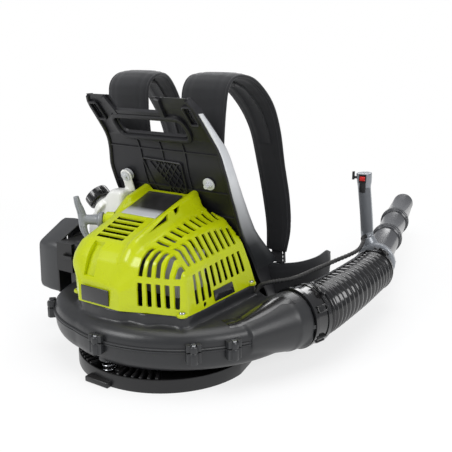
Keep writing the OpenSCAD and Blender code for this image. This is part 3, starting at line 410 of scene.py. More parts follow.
def softbox(name, at, aim, size, power, colour=(1, 1, 1)):
    data = bpy.data.lights.new(name, "AREA")
    data.shape = "RECTANGLE"
    data.size, data.size_y = size
    data.energy = power
    data.color = colour
    lamp = bpy.data.objects.new(name, data)
    lamp.location = at
    lamp.rotation_euler = (Vector(aim) - Vector(at)).to_track_quat("-Z", "Y").to_euler()
    scene.collection.objects.link(lamp)


def set_lights():
    middle = (0.0, 0.05, 0.18)
    softbox("key_light", (-0.9, -1.9, 1.6), middle, (1.2, 1.2), 34)
    softbox("side_light", (2.0, -0.3, 1.2), (0.1, 0.2, 0.15), (1.4, 0.8), 20)
    softbox("top_light", (0.1, 0.2, 2.3), middle, (1.6, 1.6), 22)
    softbox("back_light", (-0.6, 2.2, 1.5), (0.1, 0.5, 0.2), (1.6, 0.9), 20)


# ---------- finishes ----------

def hex_colour(code):
    parts = [int(code[i:i + 2], 16) / 255 for i in (1, 3, 5)]
    return (*[c / 12.92 if c <= 0.04045 else ((c + 0.055) / 1.055) ** 2.4 for c in parts], 1)


def new_group(name, inputs, outputs):
    """An effect's node group of numbers, with its inputs to read and its outputs to feed."""
    group = bpy.data.node_groups.new(name, "ShaderNodeTree")
    for socket, value in inputs.items():
        made = group.interface.new_socket(socket, in_out="INPUT", socket_type="NodeSocketFloat")
        made.default_value = value
    for socket in outputs:
        group.interface.new_socket(socket, in_out="OUTPUT", socket_type="NodeSocketFloat")
    return group, group.nodes.new("NodeGroupInput").outputs, group.nodes.new("NodeGroupOutput").inputs


def object_place(tree):
    return tree.nodes.new("ShaderNodeTexCoord").outputs["Object"]


def split_vector(tree, vector):
    split = tree.nodes.new("ShaderNodeSeparateXYZ")
    tree.links.new(vector, split.inputs[0])
    return split.outputs


def noise(tree, detail, scale):
    node = tree.nodes.new("ShaderNodeTexNoise")
    node.inputs["Detail"].default_value = detail
    tree.links.new(object_place(tree), node.inputs["Vector"])
    feed(tree, scale, node.inputs["Scale"])
    return node.outputs["Fac"]


# A full turn, as the weave counts its threads
FULL_TURN = 6.2832
# Edges with a pointiness above this are rubbed, and how fast that sets in
EDGE_FROM, EDGE_GAIN = 0.53, 9.0


def make_grain_group():
    """Fine texture of a moulded or cast face, and slow changes of its gloss."""
    group, inside, out = new_group("moulded_grain", {"Scale": 900.0, "Patches": 14.0}, ["Height", "Patch"])
    group.links.new(noise(group, 2, inside["Scale"]), out["Height"])
    group.links.new(noise(group, 4, inside["Patches"]), out["Patch"])
    return group


def make_wear_group():
    """Where handling has rubbed the edges: a mask from the edges, broken up by noise."""
    group, inside, out = new_group("edge_wear", {"Amount": 0.4, "Break Up": 60.0}, ["Mask"])
    edges = group.nodes.new("ShaderNodeNewGeometry").outputs["Pointiness"]
    above = math_node(group, "SUBTRACT", edges, EDGE_FROM)
    sharp = math_node(group, "MULTIPLY", above, EDGE_GAIN, clamp=True)
    broken = math_node(group, "MULTIPLY", sharp, noise(group, 5, inside["Break Up"]))
    group.links.new(math_node(group, "MULTIPLY", broken, inside["Amount"], clamp=True), out["Mask"])
    return group


def make_weave_group():
    """Threads over and under in two directions, with slow patches as from use."""
    group, inside, out = new_group("weave", {"Threads": 500.0, "Patches": 9.0}, ["Height", "Shade"])
    x, y, z = split_vector(group, object_place(group))
    waves = []
    for way in (x, math_node(group, "ADD", y, z)):
        turns = math_node(group, "MULTIPLY", way, inside["Threads"])
        waves.append(math_node(group, "SINE", math_node(group, "MULTIPLY", turns, FULL_TURN)))
    raised = math_node(group, "MULTIPLY_ADD", math_node(group, "MULTIPLY", *waves), 0.5, 0.5)
    group.links.new(raised, out["Height"])
    tone = math_node(group, "ADD", raised, noise(group, 4, inside["Patches"]))
    group.links.new(math_node(group, "MULTIPLY", tone, 0.5), out["Shade"])
    return group


def make_dust_group():
    """Dust that settles on faces that look up."""
    group, inside, out = new_group("dust", {"Amount": 0.2}, ["Mask"])
    normal = group.nodes.new("ShaderNodeNewGeometry").outputs["Normal"]
    up = math_node(group, "MULTIPLY", split_vector(group, normal)[2], noise(group, 8, 35), clamp=True)
    group.links.new(math_node(group, "MULTIPLY", up, inside["Amount"], clamp=True), out["Mask"])
    return group


GRAIN = make_grain_group()
WEAR = make_wear_group()
WEAVE = make_weave_group()
DUST = make_dust_group()


def place_group(tree, group, **values):
    node = tree.nodes.new("ShaderNodeGroup")
    node.node_tree = group
    for name, value in values.items():
        node.inputs[name.replace("_", " ")].default_value = value
    return node


def mix_colour(tree, share, first, second):
    """Mixes two colours, each a colour or a socket, by a share from a socket."""
    mix = tree.nodes.new("ShaderNodeMix")
    mix.data_type = "RGBA"
    tree.links.new(share, mix.inputs["Factor"])
    feed(tree, first, mix.inputs[6])
    feed(tree, second, mix.inputs[7])
    return mix.outputs[2]


def bump(tree, height, distance, strength=0.5):
    node = tree.nodes.new("ShaderNodeBump")
    node.inputs["Distance"].default_value = distance * MM
    node.inputs["Strength"].default_value = strength
    tree.links.new(height, node.inputs["Height"])
    return node.outputs[0]


def start_material(name, roughness, metallic, coat, specular=0.5):
    material = bpy.data.materials.new(name)
    material.use_nodes = True
    tree = material.node_tree
    shader = tree.nodes["Principled BSDF"]
    shader.inputs["Roughness"].default_value = roughness
    shader.inputs["Metallic"].default_value = metallic
    shader.inputs["Coat Weight"].default_value = coat
    shader.inputs["Coat Roughness"].default_value = 0.12
    shader.inputs["Specular IOR Level"].default_value = specular
    return material, tree, shader


def hard(name, colour, roughness, worn, metallic=0.0, coat=0.0, grain=(900.0, 0.03), wear=0.3, dust=0.04,
         specular=0.5):
    """A moulded, painted or cast finish: grain, patchy gloss, rubbed edges and a little dust."""
    material, tree, shader = start_material(name, roughness, metallic, coat, specular)
    texture = place_group(tree, GRAIN, Scale=grain[0])
    rubbed = place_group(tree, WEAR, Amount=wear)
    dusty = place_group(tree, DUST, Amount=dust)
    base = hex_colour(colour)
    deeper = (*[c * 0.86 for c in base[:3]], 1)
    tone = mix_colour(tree, texture.outputs["Patch"], deeper, base)
    tone = mix_colour(tree, rubbed.outputs["Mask"], tone, hex_colour(worn))
    tone = mix_colour(tree, dusty.outputs["Mask"], tone, (0.36, 0.33, 0.28, 1))
    tree.links.new(tone, shader.inputs["Base Color"])
    tree.links.new(map_range(tree, texture.outputs["Patch"], roughness * 0.82, roughness * 1.2),
                   shader.inputs["Roughness"])
    tree.links.new(bump(tree, texture.outputs["Height"], grain[1]), shader.inputs["Normal"])
    return material


def woven(name, colour, light, threads=450.0, depth=0.25, sheen=0.25):
    """Cloth: threads as bump and shade, with a soft sheen."""
    material, tree, shader = start_material(name, 0.85, 0.0, 0.0, 0.3)
    shader.inputs["Sheen Weight"].default_value = sheen
    shader.inputs["Sheen Roughness"].default_value = 0.5
    cloth = place_group(tree, WEAVE, Threads=threads)
    tone = mix_colour(tree, cloth.outputs["Shade"], hex_colour(colour), hex_colour(light))
    tree.links.new(tone, shader.inputs["Base Color"])
    tree.links.new(map_range(tree, cloth.outputs["Shade"], 0.7, 0.95), shader.inputs["Roughness"])
    tree.links.new(bump(tree, cloth.outputs["Height"], depth, 0.6), shader.inputs["Normal"])
    return material


def graded_tone_and_painted_shade(name, low, high, from_mm, to_mm, axis, roughness, metallic, coat=0.0, worn="#e8e8e8"):
    """A painted face whose colour runs from one tone to another along an axis of the object; on the side
    trims this run is painted shade, darker toward the foot.
    """
    material = hard(name, high, roughness, worn, metallic, coat)
    tree = material.node_tree
    shader = tree.nodes["Principled BSDF"]
    place = split_vector(tree, object_place(tree))[axis]
    share = map_range(tree, place, 0.0, 1.0, from_mm * MM, to_mm * MM)
    now = shader.inputs["Base Color"].links[0].from_socket
    tone = mix_colour(tree, share, hex_colour(low), now)
    tree.links.new(tone, shader.inputs["Base Color"])
    return material


CHARCOAL = hard("charcoal_plastic", "#242527", 0.36, "#5a5c5e", grain=(1100.0, 0.05))
BLACK = hard("black_plastic", "#151517", 0.36, "#3a3b3d", grain=(1300.0, 0.04))
PLATE_BLACK = hard("backplate_black", "#141419", 0.4, "#3a3b3d", grain=(1300.0, 0.04), specular=0.4)
GLOSS_BLACK = hard("gloss_black_plastic", "#0d0d0f", 0.16, "#2b2c2e", coat=0.4, grain=(400.0, 0.01))
GREEN = hard("cover_green", "#bac600", 0.27, "#d6df3c", coat=0.2, grain=(500.0, 0.012), wear=0.4, dust=0.01,
             specular=0.35)
# Painted shade: the trims run from near black at the foot to silver above, standing in for the shade on their
# lower part, which faces away from the light
TRIM_WITH_PAINTED_SHADE = graded_tone_and_painted_shade("trim_silver_painted_shade", "#2f3133", "#dfe1e3", 190, 345, 2, 0.3, 0.4)
GRIP_GREY = hard("grip_grey", "#85888b", 0.36, "#aeb1b4", metallic=0.1, grain=(700.0, 0.02))
HANDLE = hard("handle_grey", "#8d9196", 0.3, "#b9bcc0", metallic=0.35, coat=0.2, grain=(700.0, 0.01))
STEEL = hard("bright_steel", "#b9bbbe", 0.22, "#dfe0e2", metallic=1.0, grain=(1800.0, 0.01), dust=0.0)
ZINC = hard("zinc_plate", "#d2d4d6", 0.46, "#e9eaeb", metallic=0.15, grain=(1500.0, 0.01), dust=0.0)
CHROME = hard("spring_wire", "#c9cbce", 0.14, "#eceded", metallic=1.0, grain=(600.0, 0.005), dust=0.0)
CAST = hard("cast_aluminium", "#9c9ea1", 0.48, "#c9cbcd", metallic=0.9, grain=(700.0, 0.12), dust=0.05)
SHEET = hard("muffler_sheet", "#c3c4c6", 0.38, "#e3e4e5", metallic=0.25, grain=(900.0, 0.03), dust=0.03)
FILTER_GREY = hard("filter_cover_grey", "#37383a", 0.42, "#5c5e60", grain=(1000.0, 0.06))
RUBBER = hard("black_rubber", "#141415", 0.62, "#2c2d2e", grain=(800.0, 0.08), dust=0.08)
SOFT_GREY = hard("grip_rubber_grey", "#5f6266", 0.5, "#7b7e82", grain=(800.0, 0.06), wear=0.2)
RED = hard("switch_red", "#c8150f", 0.25, "#e0574f", coat=0.3, grain=(700.0, 0.01), dust=0.0)
BROWN = hard("insulator_resin", "#2e2823", 0.55, "#4a423a", grain=(700.0, 0.06))
CERAMIC = hard("plug_ceramic", "#e6e3da", 0.15, "#f3f1ec", coat=0.5, grain=(400.0, 0.005), dust=0.0)
TANK = hard("tank_white", "#eeeeea", 0.3, "#f1f1ee", coat=0.1, grain=(500.0, 0.03), dust=0.02)
AMBER = hard("fuel_line", "#bda65a", 0.35, "#d6c381", grain=(600.0, 0.01))
BULB = hard("primer_rubber", "#b7ad8c", 0.3, "#cfc7ad", grain=(600.0, 0.01))
FOAM = woven("filter_foam", "#a99c6e", "#d2c596", threads=260.0, depth=0.5, sheen=0.0)
PAD_CLOTH = woven("pad_cloth", "#0c0c0e", "#26272a", threads=330.0)
WEBBING = woven("webbing", "#0b0b0d", "#2b2c2f", threads=520.0, depth=0.3)
ROPE = woven("starter_cord", "#c9c8c2", "#f0efe9", threads=800.0, depth=0.3, sheen=0.1)
# Painted shade: the cover is lime plastic inside too, and this dark olive stands in for the shade inside it
GREEN_PAINTED_SHADE = hard("cover_inside", "#2b2f04", 0.6, "#3a3f08", grain=(500.0, 0.012), wear=0.0, dust=0.0,
                    specular=0.1)
CHARCOAL_GLOSS = hard("tube_charcoal", "#333437", 0.22, "#5e6063", coat=0.25, grain=(700.0, 0.01))
THREAD = hard("stitch_thread", "#3a3b3e", 0.7, "#4b4c4f", grain=(900.0, 0.01), wear=0.0, dust=0.0)
BADGE_PLAIN = hard("badge_black", "#121214", 0.2, "#2a2b2d", coat=0.5, grain=(500.0, 0.008), wear=0.1)
BADGE = graded_tone_and_painted_shade("badge_silver_black", "#b9bbbe", "#0c0c0e", -60, -46, 1, 0.3, 0.1, 0.2)

NODE_FINISHES = {
    "base_foot": BLACK, "backplate": PLATE_BLACK, "side_trims": TRIM_WITH_PAINTED_SHADE, "backplate_bolts": ZINC,
    "isolator_mounts": RUBBER, "coil_springs": CHROME, "strap_webbing": WEBBING, "strap_buckles": BLACK,
    "shoulder_strap_right": PAD_CLOTH, "shoulder_strap_left": PAD_CLOTH, "back_pad": PAD_CLOTH,
    "hip_pads": PAD_CLOTH, "volute_lower": CHARCOAL, "volute_upper": CHARCOAL, "case_screws": STEEL,
    "intake_guard": BLACK, "engine_cover": GREEN, "crankcase": CAST, "cylinder": CAST, "spark_plug": CERAMIC,
    "plug_boot": RUBBER, "ignition_coil": BLACK, "muffler": SHEET, "insulator_block": BROWN,
    "carburettor": CAST, "filter_base": BLACK, "filter_element": FOAM, "starter_housing": BLACK,
    "rope_guide": GREEN, "fuel_tank": TANK, "fuel_lines": AMBER, "hose_cuff": GLOSS_BLACK,
    "hose_clamp_rear": GLOSS_BLACK, "main_bearings": STEEL, "crankshaft": STEEL, "flywheel": CAST,
    "impeller": BLACK, "piston": STEEL, "connecting_rod": STEEL, "starter_grip": GRIP_GREY,
    "starter_rope": ROPE, "starter_pulley": CERAMIC, "fuel_cap": GLOSS_BLACK, "cap_seal": RUBBER,
    "primer_bulb": BULB, "choke_lever": BLACK, "throttle_shaft": STEEL, "filter_cover": FILTER_GREY,
    "filter_knob": GLOSS_BLACK, "flex_hose": GLOSS_BLACK, "throttle_cable": RUBBER, "lower_tube": CHARCOAL,
    "hose_clamp_front": GLOSS_BLACK, "middle_tube": CHARCOAL, "nozzle_tube": CHARCOAL,
    "handle_body": HANDLE, "handle_grip": SOFT_GREY, "throttle_trigger": BLACK, "cruise_lever": BLACK,
    "stop_switch": RED,
}


def finish_nodes():
    for name, material in NODE_FINISHES.items():
        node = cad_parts[name]
        node.data.materials.clear()
        node.data.materials.append(material)


# ---------- harness frame ----------

# Rear face of the backplate from top to bottom: y and z
PLATE_REAR = [(-75, 472), (-62, 456), (-16, 399), (0, 370), (10, 332), (25, 293), (37, 268), (62, 212),
              (96, 163), (127, 112), (152, 80), (165, 40), (170, 8)]
PLATE_EDGE = [(8, 138), (330, 138), (370, 131), (400, 125), (456, 121), (471, 112)]
PLATE_DEPTH = [(8, 16), (80, 26), (131, 38), (237, 33), (326, 26), (382, 24), (436, 19), (472, 14)]
PLATE_T = 4.0
REAR_CURVE = smooth_path([(0, y, z) for y, z in PLATE_REAR], 6)


def plate_y(z):
    return lookup(z, [(p.z, p.y) for p in REAR_CURVE])


def plate_half(z):
    return lookup(z, PLATE_EDGE)


def plate_out(z):
    """Direction that the rear face looks, at a height."""
    rise = plate_y(z + 3) - plate_y(z - 3)
    return Vector((0, -6, rise)).normalized()


def on_plate(x, z, out):
    """A point out from the rear face of the backplate."""
    return Vector((x, plate_y(z), z)) + plate_out(z) * out


def heights(low, high, step):
    count = max(1, round((high - low) / step))
    return [low + (high - low) * i / count for i in range(count + 1)]


def plate_bar(name, start, end, width, low, high, steps=12):
    """A straight bar on the rear face between two (x, z) points."""
    (x0, z0), (x1, z1) = start, end
    span = Vector((x1 - x0, z1 - z0)).normalized()
    side = Vector((-span.y, span.x)) * width / 2
    rings = []
    for i in range(steps + 1):
        x = x0 + (x1 - x0) * i / steps
        z = z0 + (z1 - z0) * i / steps
        rings.append([on_plate(x - side.x, z - side.y, low), on_plate(x + side.x, z + side.y, low),
                      on_plate(x + side.x, z + side.y, high), on_plate(x - side.x, z - side.y, high)])
    return loft(name, rings)


def frame_bar(name, corners, radius, width, height, low):
    """A raised rounded frame on the rear face, round a closed outline of (x, z) corners."""
    outline = rounded_outline(corners, radius, 5)
    rings = []
    for i, here in enumerate(outline):
        before = outline[i - 1]
        after = outline[(i + 1) % len(outline)]
        way = (after - before).normalized()
        side = Vector((way.y, -way.x))
        ring = []
        for across, up in ((-1, 0), (-0.8, 0.8), (0, 1), (0.8, 0.8), (1, 0), (0.6, -0.6), (-0.6, -0.6)):
            spot = here + side * across * width / 2
            ring.append(on_plate(spot.x, spot.y, low + height * up))
        rings.append(ring)
    return loft(name, rings + [rings[0]], caps=False, sharp=60)


# How far the ears for the straps stand from the middle
EAR_X = 106
HAND_SLOT = [(-75, 400.5), (75, 400.5), (75, 429.5), (-75, 429.5)]


def make_backplate():
    levels = heights(8, 472, 8)
    rings = []
    for z in levels:
        half = plate_half(z)
        depth = plate_depth(z)
        y = plate_y(z)
        rise = 1.5
        rings.append([(-half, y + depth, z), (-half, y + rise, z), (-half + rise, y, z), (half - rise, y, z),
                      (half, y + rise, z), (half, y + depth, z), (half - PLATE_T, y + depth, z),
                      (half - PLATE_T, y + PLATE_T, z), (-half + PLATE_T, y + PLATE_T, z),
                      (-half + PLATE_T, y + depth, z)])
    plate = loft("backplate_panel", rings, sharp=40)
    slot_line = rounded_outline(HAND_SLOT, 12, 5)
    hole = loft("slot", [[(p.x, y, p.y) for p in slot_line] for y in (-120, 40)])
    ears = [box("ear", (6, 60, 24), (side * EAR_X, plate_y(442), 442)) for side in (-1, 1)]
    notch_line = rounded_outline([(-60, 446), (40, 446), (36, 500), (-56, 500)], 6, 3)
    notch = loft("notch", [[(p.x, y, p.y) for p in notch_line] for y in (-140, -20)])
    cut(plate, [hole, notch] + ears, sharp=40)
    parts = [plate]
    # lines moulded across and down the rear face
    for z in (372, 300, 252):
        half = plate_half(z) - 6
        parts.append(plate_bar("rib", (-half, z), (half, z - 2), 2.2, -1, 2.2, 16))
    for x in (-52, 0, 52):
        parts.append(plate_bar("rib", (x, 396), (x, 236), 2.2, -1, 2.2))
    # the handle: a rolled frame round the slot, and a brow above it
    parts.append(frame_bar("slot_rim", [(-82, 394), (82, 394), (82, 436), (-82, 436)], 18, 9, 6.5, 0))
    parts.append(frame_bar("slot_lip", HAND_SLOT, 12, 4, 4, -3))
    parts.append(plate_bar("brow", (-62, 444), (42, 444), 6, -2, 5, 8))
    for x in (-62, 46):
        parts.append(plate_bar("horn", (x, 440), (x * 1.12, 470), 9, -3, 6, 8))
    # side rails along the whole height
    for side in (-1, 1):
        rings = []
        for z in heights(10, 468, 9):
            half = plate_half(z) * side
            rings.append([on_plate(half - side * a, z, b) for a, b in
                          ((-0.4, -3), (-0.4, 2), (1.5, 3.6), (5, 3.6), (7, 1.5), (7, -1))])
        parts.append(loft("rail", rings, sharp=60))
    # a raised pocket with diamond ribs
    parts.append(frame_bar("pocket_rim", [(-50, 352), (40, 348), (40, 296), (-22, 250)], 5, 4, 4.5, 0))
    diamonds = [((14 * k - 34, 346), (34, 263 + 17 * k)) for k in range(5)]
    diamonds += [((x, 346), (x / 2 - 17, 325.3 - 0.61 * x)) for x in (-10, 4, 18, 32)]
    for z in (329, 312, 295):
        x = (346 - z) / 2.44
        diamonds.append(((34, z), (x, z - 1.22 * (34 - x))))
    parts += [plate_bar("diamond_rib", start, end, 1.8, 0, 2.6, 8) for start, end in diamonds]
    # strap anchors in the two ears
    for side in (-1, 1):
        x = side * EAR_X
        corners = [(x - 9, 426), (x + 9, 426), (x + 9, 458), (x - 9, 458)]
        parts.append(frame_bar("ear_rim", corners, 5, 5, 5, 0))
    plate = join("backplate_shell", parts, 40)
    put(plate, PLATE_BLACK, "carrier", "black_plastic", "backplate")


def plate_depth(z):
    return lookup(z, PLATE_DEPTH)


def make_anchor_rods():
    """The wire loops that hold the straps in the ears."""
    rods = []
    for side in (-1, 1):
        x = side * EAR_X
        for z in (437, 447):
            rods.append(rod("rod", on_plate(x - 8, z, -3), on_plate(x + 8, z, -3), 1.8, 12))
    put(join("ear_rods", rods), BLACK, "carrier", "black_plastic")


TRIM_DEPTH = [(136, 72), (150, 68), (180, 55), (220, 42), (260, 34), (300, 30), (326, 26), (382, 22),
              (446, 12)]


def make_trims():
    """The silver strips over the sides of the backplate, wider toward the foot, with painted shade darkening
    their lower part.
    """
    parts = []
    for side in (-1, 1):
        rings = []
        for z in heights(136, 446, 7):
            half = plate_half(z)
            y = plate_y(z)
            depth = lookup(z, TRIM_DEPTH)
            rings.append([Vector((side * (half + a), y + b, z)) for a, b in
                          ((0.1, depth - 0.4), (1.6, depth - 0.4), (2.4, depth - 1.6), (2.6, depth * 0.5),
                           (2.4, 2.5), (2.0, 0.6), (1.0, -0.6), (-1.5, -0.8), (-1.5, 1.2), (0.1, 2.0))])
        parts.append(loft("trim", rings, sharp=50))
    # the trims' finish carries painted shade on their lower part
    put(join("side_trim_strips", parts, 50), TRIM_WITH_PAINTED_SHADE, "carrier", "silver_trim", "side_trims")


STUD_X = 95
STUD_Z = 316
STUD_TILT = 90 + degrees(atan2(25 - 10, 332 - 293))


def at_stud(side):
    y = lookup(STUD_Z, [(z, y) for y, z in PLATE_REAR])
    return (translation(side * STUD_X, y, STUD_Z)
            @ rotation(STUD_TILT, "X"))


# ---------- springs ----------

SPRING_SEATS = [(24, -185), (-95, 100), (160, 30)]


def make_springs():
    wire, radius, turns = 1.7, 11.8, 4
    low, high = 14, 50
    steps = 28
    springs = []
    for x, y in SPRING_SEATS:
        path = []
        for k in range(steps * turns + 1):
            share = k / (steps * turns)
            a = radians(200) + 2 * pi * turns * share
            z = low + wire + (high - low - 2 * wire) * share
            path.append(Vector((x + radius * cos(a), y + radius * sin(a), z)))
        springs.append(tube("spring", path, wire, 10))
    put(join("spring_wire", springs, 60), CHROME, "carrier", "spring_steel", "coil_springs")


# ---------- fan housing ----------

SEAM = 80
HOUSING_LOW = 36
HOUSING_TOP = 110
SCROLL = [(-300, 122), (-270, 134), (-136, 208), (-100, 207), (0, 270), (7.4, 304.5), (17.8, 212), (60, 122)]
SCROLL_LEVELS = [(HOUSING_LOW, 24), (38, 16), (42, 9), (48, 4.5), (56, 1.5), (66, 0.4), (SEAM, 0),
                 (90, 0.6), (97, 3), (102, 7), (106, 13), (109, 20), (HOUSING_TOP, 27)]
SCROLL_ANGLES = [-300 + 4 * k for k in range(75)] + [0, 3.7, 7.4, 12.6, 17.8, 30, 45]
DUCT_END = Vector((252, 52, SEAM))
DUCT_YAW = 14
DUCT_R = 52
DUCT_WAY = Vector((sin(radians(DUCT_YAW)), cos(radians(DUCT_YAW)), 0))
WALL = 3


def scroll_r(a):
    return lookup(a, SCROLL)


def scroll_ring(z, inset):
    return [((scroll_r(a) - inset) * cos(radians(a)), (scroll_r(a) - inset) * sin(radians(a)), z)
            for a in SCROLL_ANGLES]


def along_duct(distance):
    return DUCT_END + DUCT_WAY * distance


def cone(name, start, end, radius_start, radius_end, sides=64):
    way = (end - start).normalized()
    across = Vector((0, 0, 1)).cross(way).normalized()
    up = way.cross(across)
    rings = []
    for middle, radius in ((start, radius_start), (end, radius_end)):
        rings.append([middle + across * a + up * b for a, b in circle(radius, sides)])
    return loft(name, rings)


COVER_FOOT = [(172, 57), (166, -149), (117, -165), (102, -179), (68, -180), (54, -191), (15, -193),
              (-36, -186), (-82, -150), (-82, 57)]
PLINTH_TOP = 130


def inset(corners, amount):
    """A closed outline in X and Y drawn in by an amount."""
    count = len(corners)
    middle = Vector((sum(c[0] for c in corners) / count, sum(c[1] for c in corners) / count))
    result = []
    for i in range(count):
        before, here, after = (Vector(corners[(i + k) % count]) for k in (-1, 0, 1))
        first = (here - before).normalized()
        second = (after - here).normalized()
        normal = (Vector((first.y, -first.x)) + Vector((second.y, -second.x))).normalized()
        if (middle - here).dot(normal) < 0:
            normal = -normal
        result.append(here + normal * amount)
    return result


def housing_body():
    """The housing's outside in one skin, with soft corners where its forms meet."""
    scroll = loft("scroll", [scroll_ring(z, i) for z, i in SCROLL_LEVELS])
    duct = cone("duct", along_duct(-34), along_duct(0), DUCT_R, DUCT_R)
    throat = cone("throat", along_duct(-132), along_duct(-30), DUCT_R - 20, DUCT_R - 0.5)
    plinth = prism("plinth", rounded_outline(COVER_FOOT, 9, 4), 96, PLINTH_TOP)
    skirt = prism("skirt", rounded_outline(inset(COVER_FOOT, -5), 12, 4), 96, 108)
    column = turned("column", [(0, 84), (10, 84), (12, 96), (9, 126), (0, 126)], 24)
    moved(column, translation(152, -146))
    body = join("housing_body", [scroll, duct, throat, plinth, skirt, column])
    return melted(body, 2.6, 6)


def housing_space():
    """The air path inside the housing, and the open end of the outlet."""
    def level(z):
        share = WALL / ((SEAM - HOUSING_LOW) if z < SEAM else (HOUSING_TOP - SEAM))
        return SEAM + (z - SEAM) * (1 - share)
    space = loft("space", [scroll_ring(level(z), i + WALL) for z, i in SCROLL_LEVELS])
    bore = cone("bore", along_duct(-132), along_duct(-34), DUCT_R - 24, DUCT_R - WALL)
    mouth = cone("mouth", along_duct(-36), along_duct(20), DUCT_R - WALL, DUCT_R - WALL)
    return [space, bore, mouth]


BOSS_ANGLES = [-26, -41, -82, -136, -180, -222, 38]


def lip(z, height, out=3.0):
    """The flange along the seam."""
    rings = []
    for a in SCROLL_ANGLES:
        if a > 12:
            continue
        r = scroll_r(a)
        way = Vector((cos(radians(a)), sin(radians(a)), 0))
        ring = []
        for across, up in ((-3, 0), (out - 0.8, 0), (out, 0.25), (out, 0.75), (out - 0.8, 1), (-3, 1)):
            ring.append(way * (r + across) + Vector((0, 0, z + height * up)))
        rings.append(ring)
    return loft("lip", rings, sharp=50)


def boss(a, low, high, crown):
    """A screw boss on the seam: a round post between two flat wings."""
    way = Vector((cos(radians(a)), sin(radians(a)), 0))
    spin = translation(*way * (scroll_r(a) + 6.4)) @ rotation(a)
    post = turned("post", [(0, low), (7.2, low), (8, low + 1.2), (8, high - 1.5), (7, high), (0, high)], 28)
    parts = [moved(post, spin)]
    wing = high + 3 if crown else high
    for side in (-1, 1):
        top = [(-8, side * 5), (4.5, side * 5), (4.5, side * 12.5), (-8, side * 12.5)]
        plate = prism("wing", rounded_outline(top, 2.5, 3), low + 2, wing)
        parts.append(moved(bevelled(plate, 1.0, 2), spin))
    return parts


def make_housing():
    space = housing_space()
    body = housing_body()
    upper = twin(body)
    big = 900
    below = box("below", (big, big, 200), (0, 0, SEAM - 100))
    above = box("above", (big, big, 200), (0, 0, SEAM + 100))
    pocket = prism("pocket", inset(COVER_FOOT, 3.5), HOUSING_TOP + 0.4, 150)
    spares = [twin(piece) for piece in space]
    cut(upper, [below, pocket] + space, sharp=40)
    intake = turned("intake", [(0, 20), (62, 20), (62, 60), (0, 60)])
    seats = [moved(turned("seat", [(0, 10), (15.5, 10), (15.5, 50), (0, 50)]),
                   translation(x, y)) for x, y in SPRING_SEATS]
    cups = [moved(turned("cup", [(18, 36), (18, 53), (0, 53), (0, 50.2), (15.6, 50.2), (15.6, 36)], 32),
                  translation(x, y)) for x, y in SPRING_SEATS]
    rear = box("rear_notch", (26, 60, 30), (SPRING_SEATS[0][0], SPRING_SEATS[0][1] - 30, 35))
    cut(body, [above, intake, rear] + seats + spares, sharp=40)
    upper_parts = [upper, lip(SEAM + 0.3, 3)]
    lower_parts = [body, lip(SEAM - 3.3, 3)] + cups
    for a in BOSS_ANGLES:
        upper_parts += boss(a, SEAM + 0.2, SEAM + 11, True)
        lower_parts += boss(a, SEAM - 20, SEAM - 0.2, False)
    for x in (-140, -116):
        upper_parts.append(box("saddle", (8, 34, 42), (x, 20, 129), 1.5))
    upper_parts.append(box("bracket", (22, 20, 28), (-161, -70, 113), 1.5))
    put(join("housing_upper", upper_parts, 45), CHARCOAL, "engine", "charcoal_plastic", "volute_upper")
    put(join("housing_lower", lower_parts, 45), CHARCOAL, "engine", "charcoal_plastic", "volute_lower")


# ---------- engine cover ----------

# Sections of the cover from front to rear, as the solids' source has them; cover_ring names the numbers
COVER_SECTIONS = [
    (57, 50, 12, 172, 138, 204, 111, 248, 288, 299, -82, 225, 0, 1, 299, 299, 257),
    (-20, -22, -32, 170, 144, 203, 118, 243, 273, 284, -82, 220, 0, 1, 284, 283, 246),
    (-72, -74, -80, 169, 150, 202, 124, 238, 258, 269, -82, 208, 0, 1, 256, 249, 232),
    (-149, -145, -150, 166, 160, 198, 136, 225, 232, 243, -80, 190, 0, 1, 230, 226, 212),
    (-158, -160, -164, 139, 142, 196, 122, 217, 221, 230, -74, 184, 1, 0.97, 218, 213, 202),
    (-165, -170, -174, 117, 112, 188, 98, 200, 207, 214, -64, 174, 2, 0.92, 205, 200, 189),
    (-191, -190, -187, 54, 54, 160, 50, 168, 170, 172, -36, 156, 9, 0.55, 169, 167, 162)]


def cover_ring(s, w, drop=0.0, ahead=0.0):
    """The cover's outline at one section, drawn in by w, with a lower foot and a longer front."""
    front = 9 * w + ahead if s[0] > 50 else w
    foot_y, band_y, top_y = s[0] + front, s[1] + front, s[2] + front
    foot_x, band_x, band_z, side_x, side_z, panel, ridge, left_x, left_z, m, k, inner, outer, slope = s[3:]
    foot = PLINTH_TOP - 2 * w - drop
    return [(foot_x - w, foot_y, foot),
            ((foot_x + band_x) / 2 + 2 - w, (foot_y + band_y) / 2, (foot + band_z - w) / 2 - 2),
            (band_x - w, band_y, band_z - w), (side_x - w, (band_y + top_y) / 2, side_z - w),
            (m + 74 * k - w, top_y, (side_z + panel) / 2 + 2 - w), (m + 63 * k - w, top_y, ridge - w),
            (m + 53 * k, top_y, ridge - w), (m + 43 * k, top_y, panel - w), (m - 43 * k, top_y, panel - w),
            (m - 53 * k, top_y, inner - w), (m - 63 * k + w, top_y, outer - w),
            (m - 74 * k + w, top_y, slope - w), (left_x + w, band_y, left_z - w), (left_x + w, foot_y, foot)]


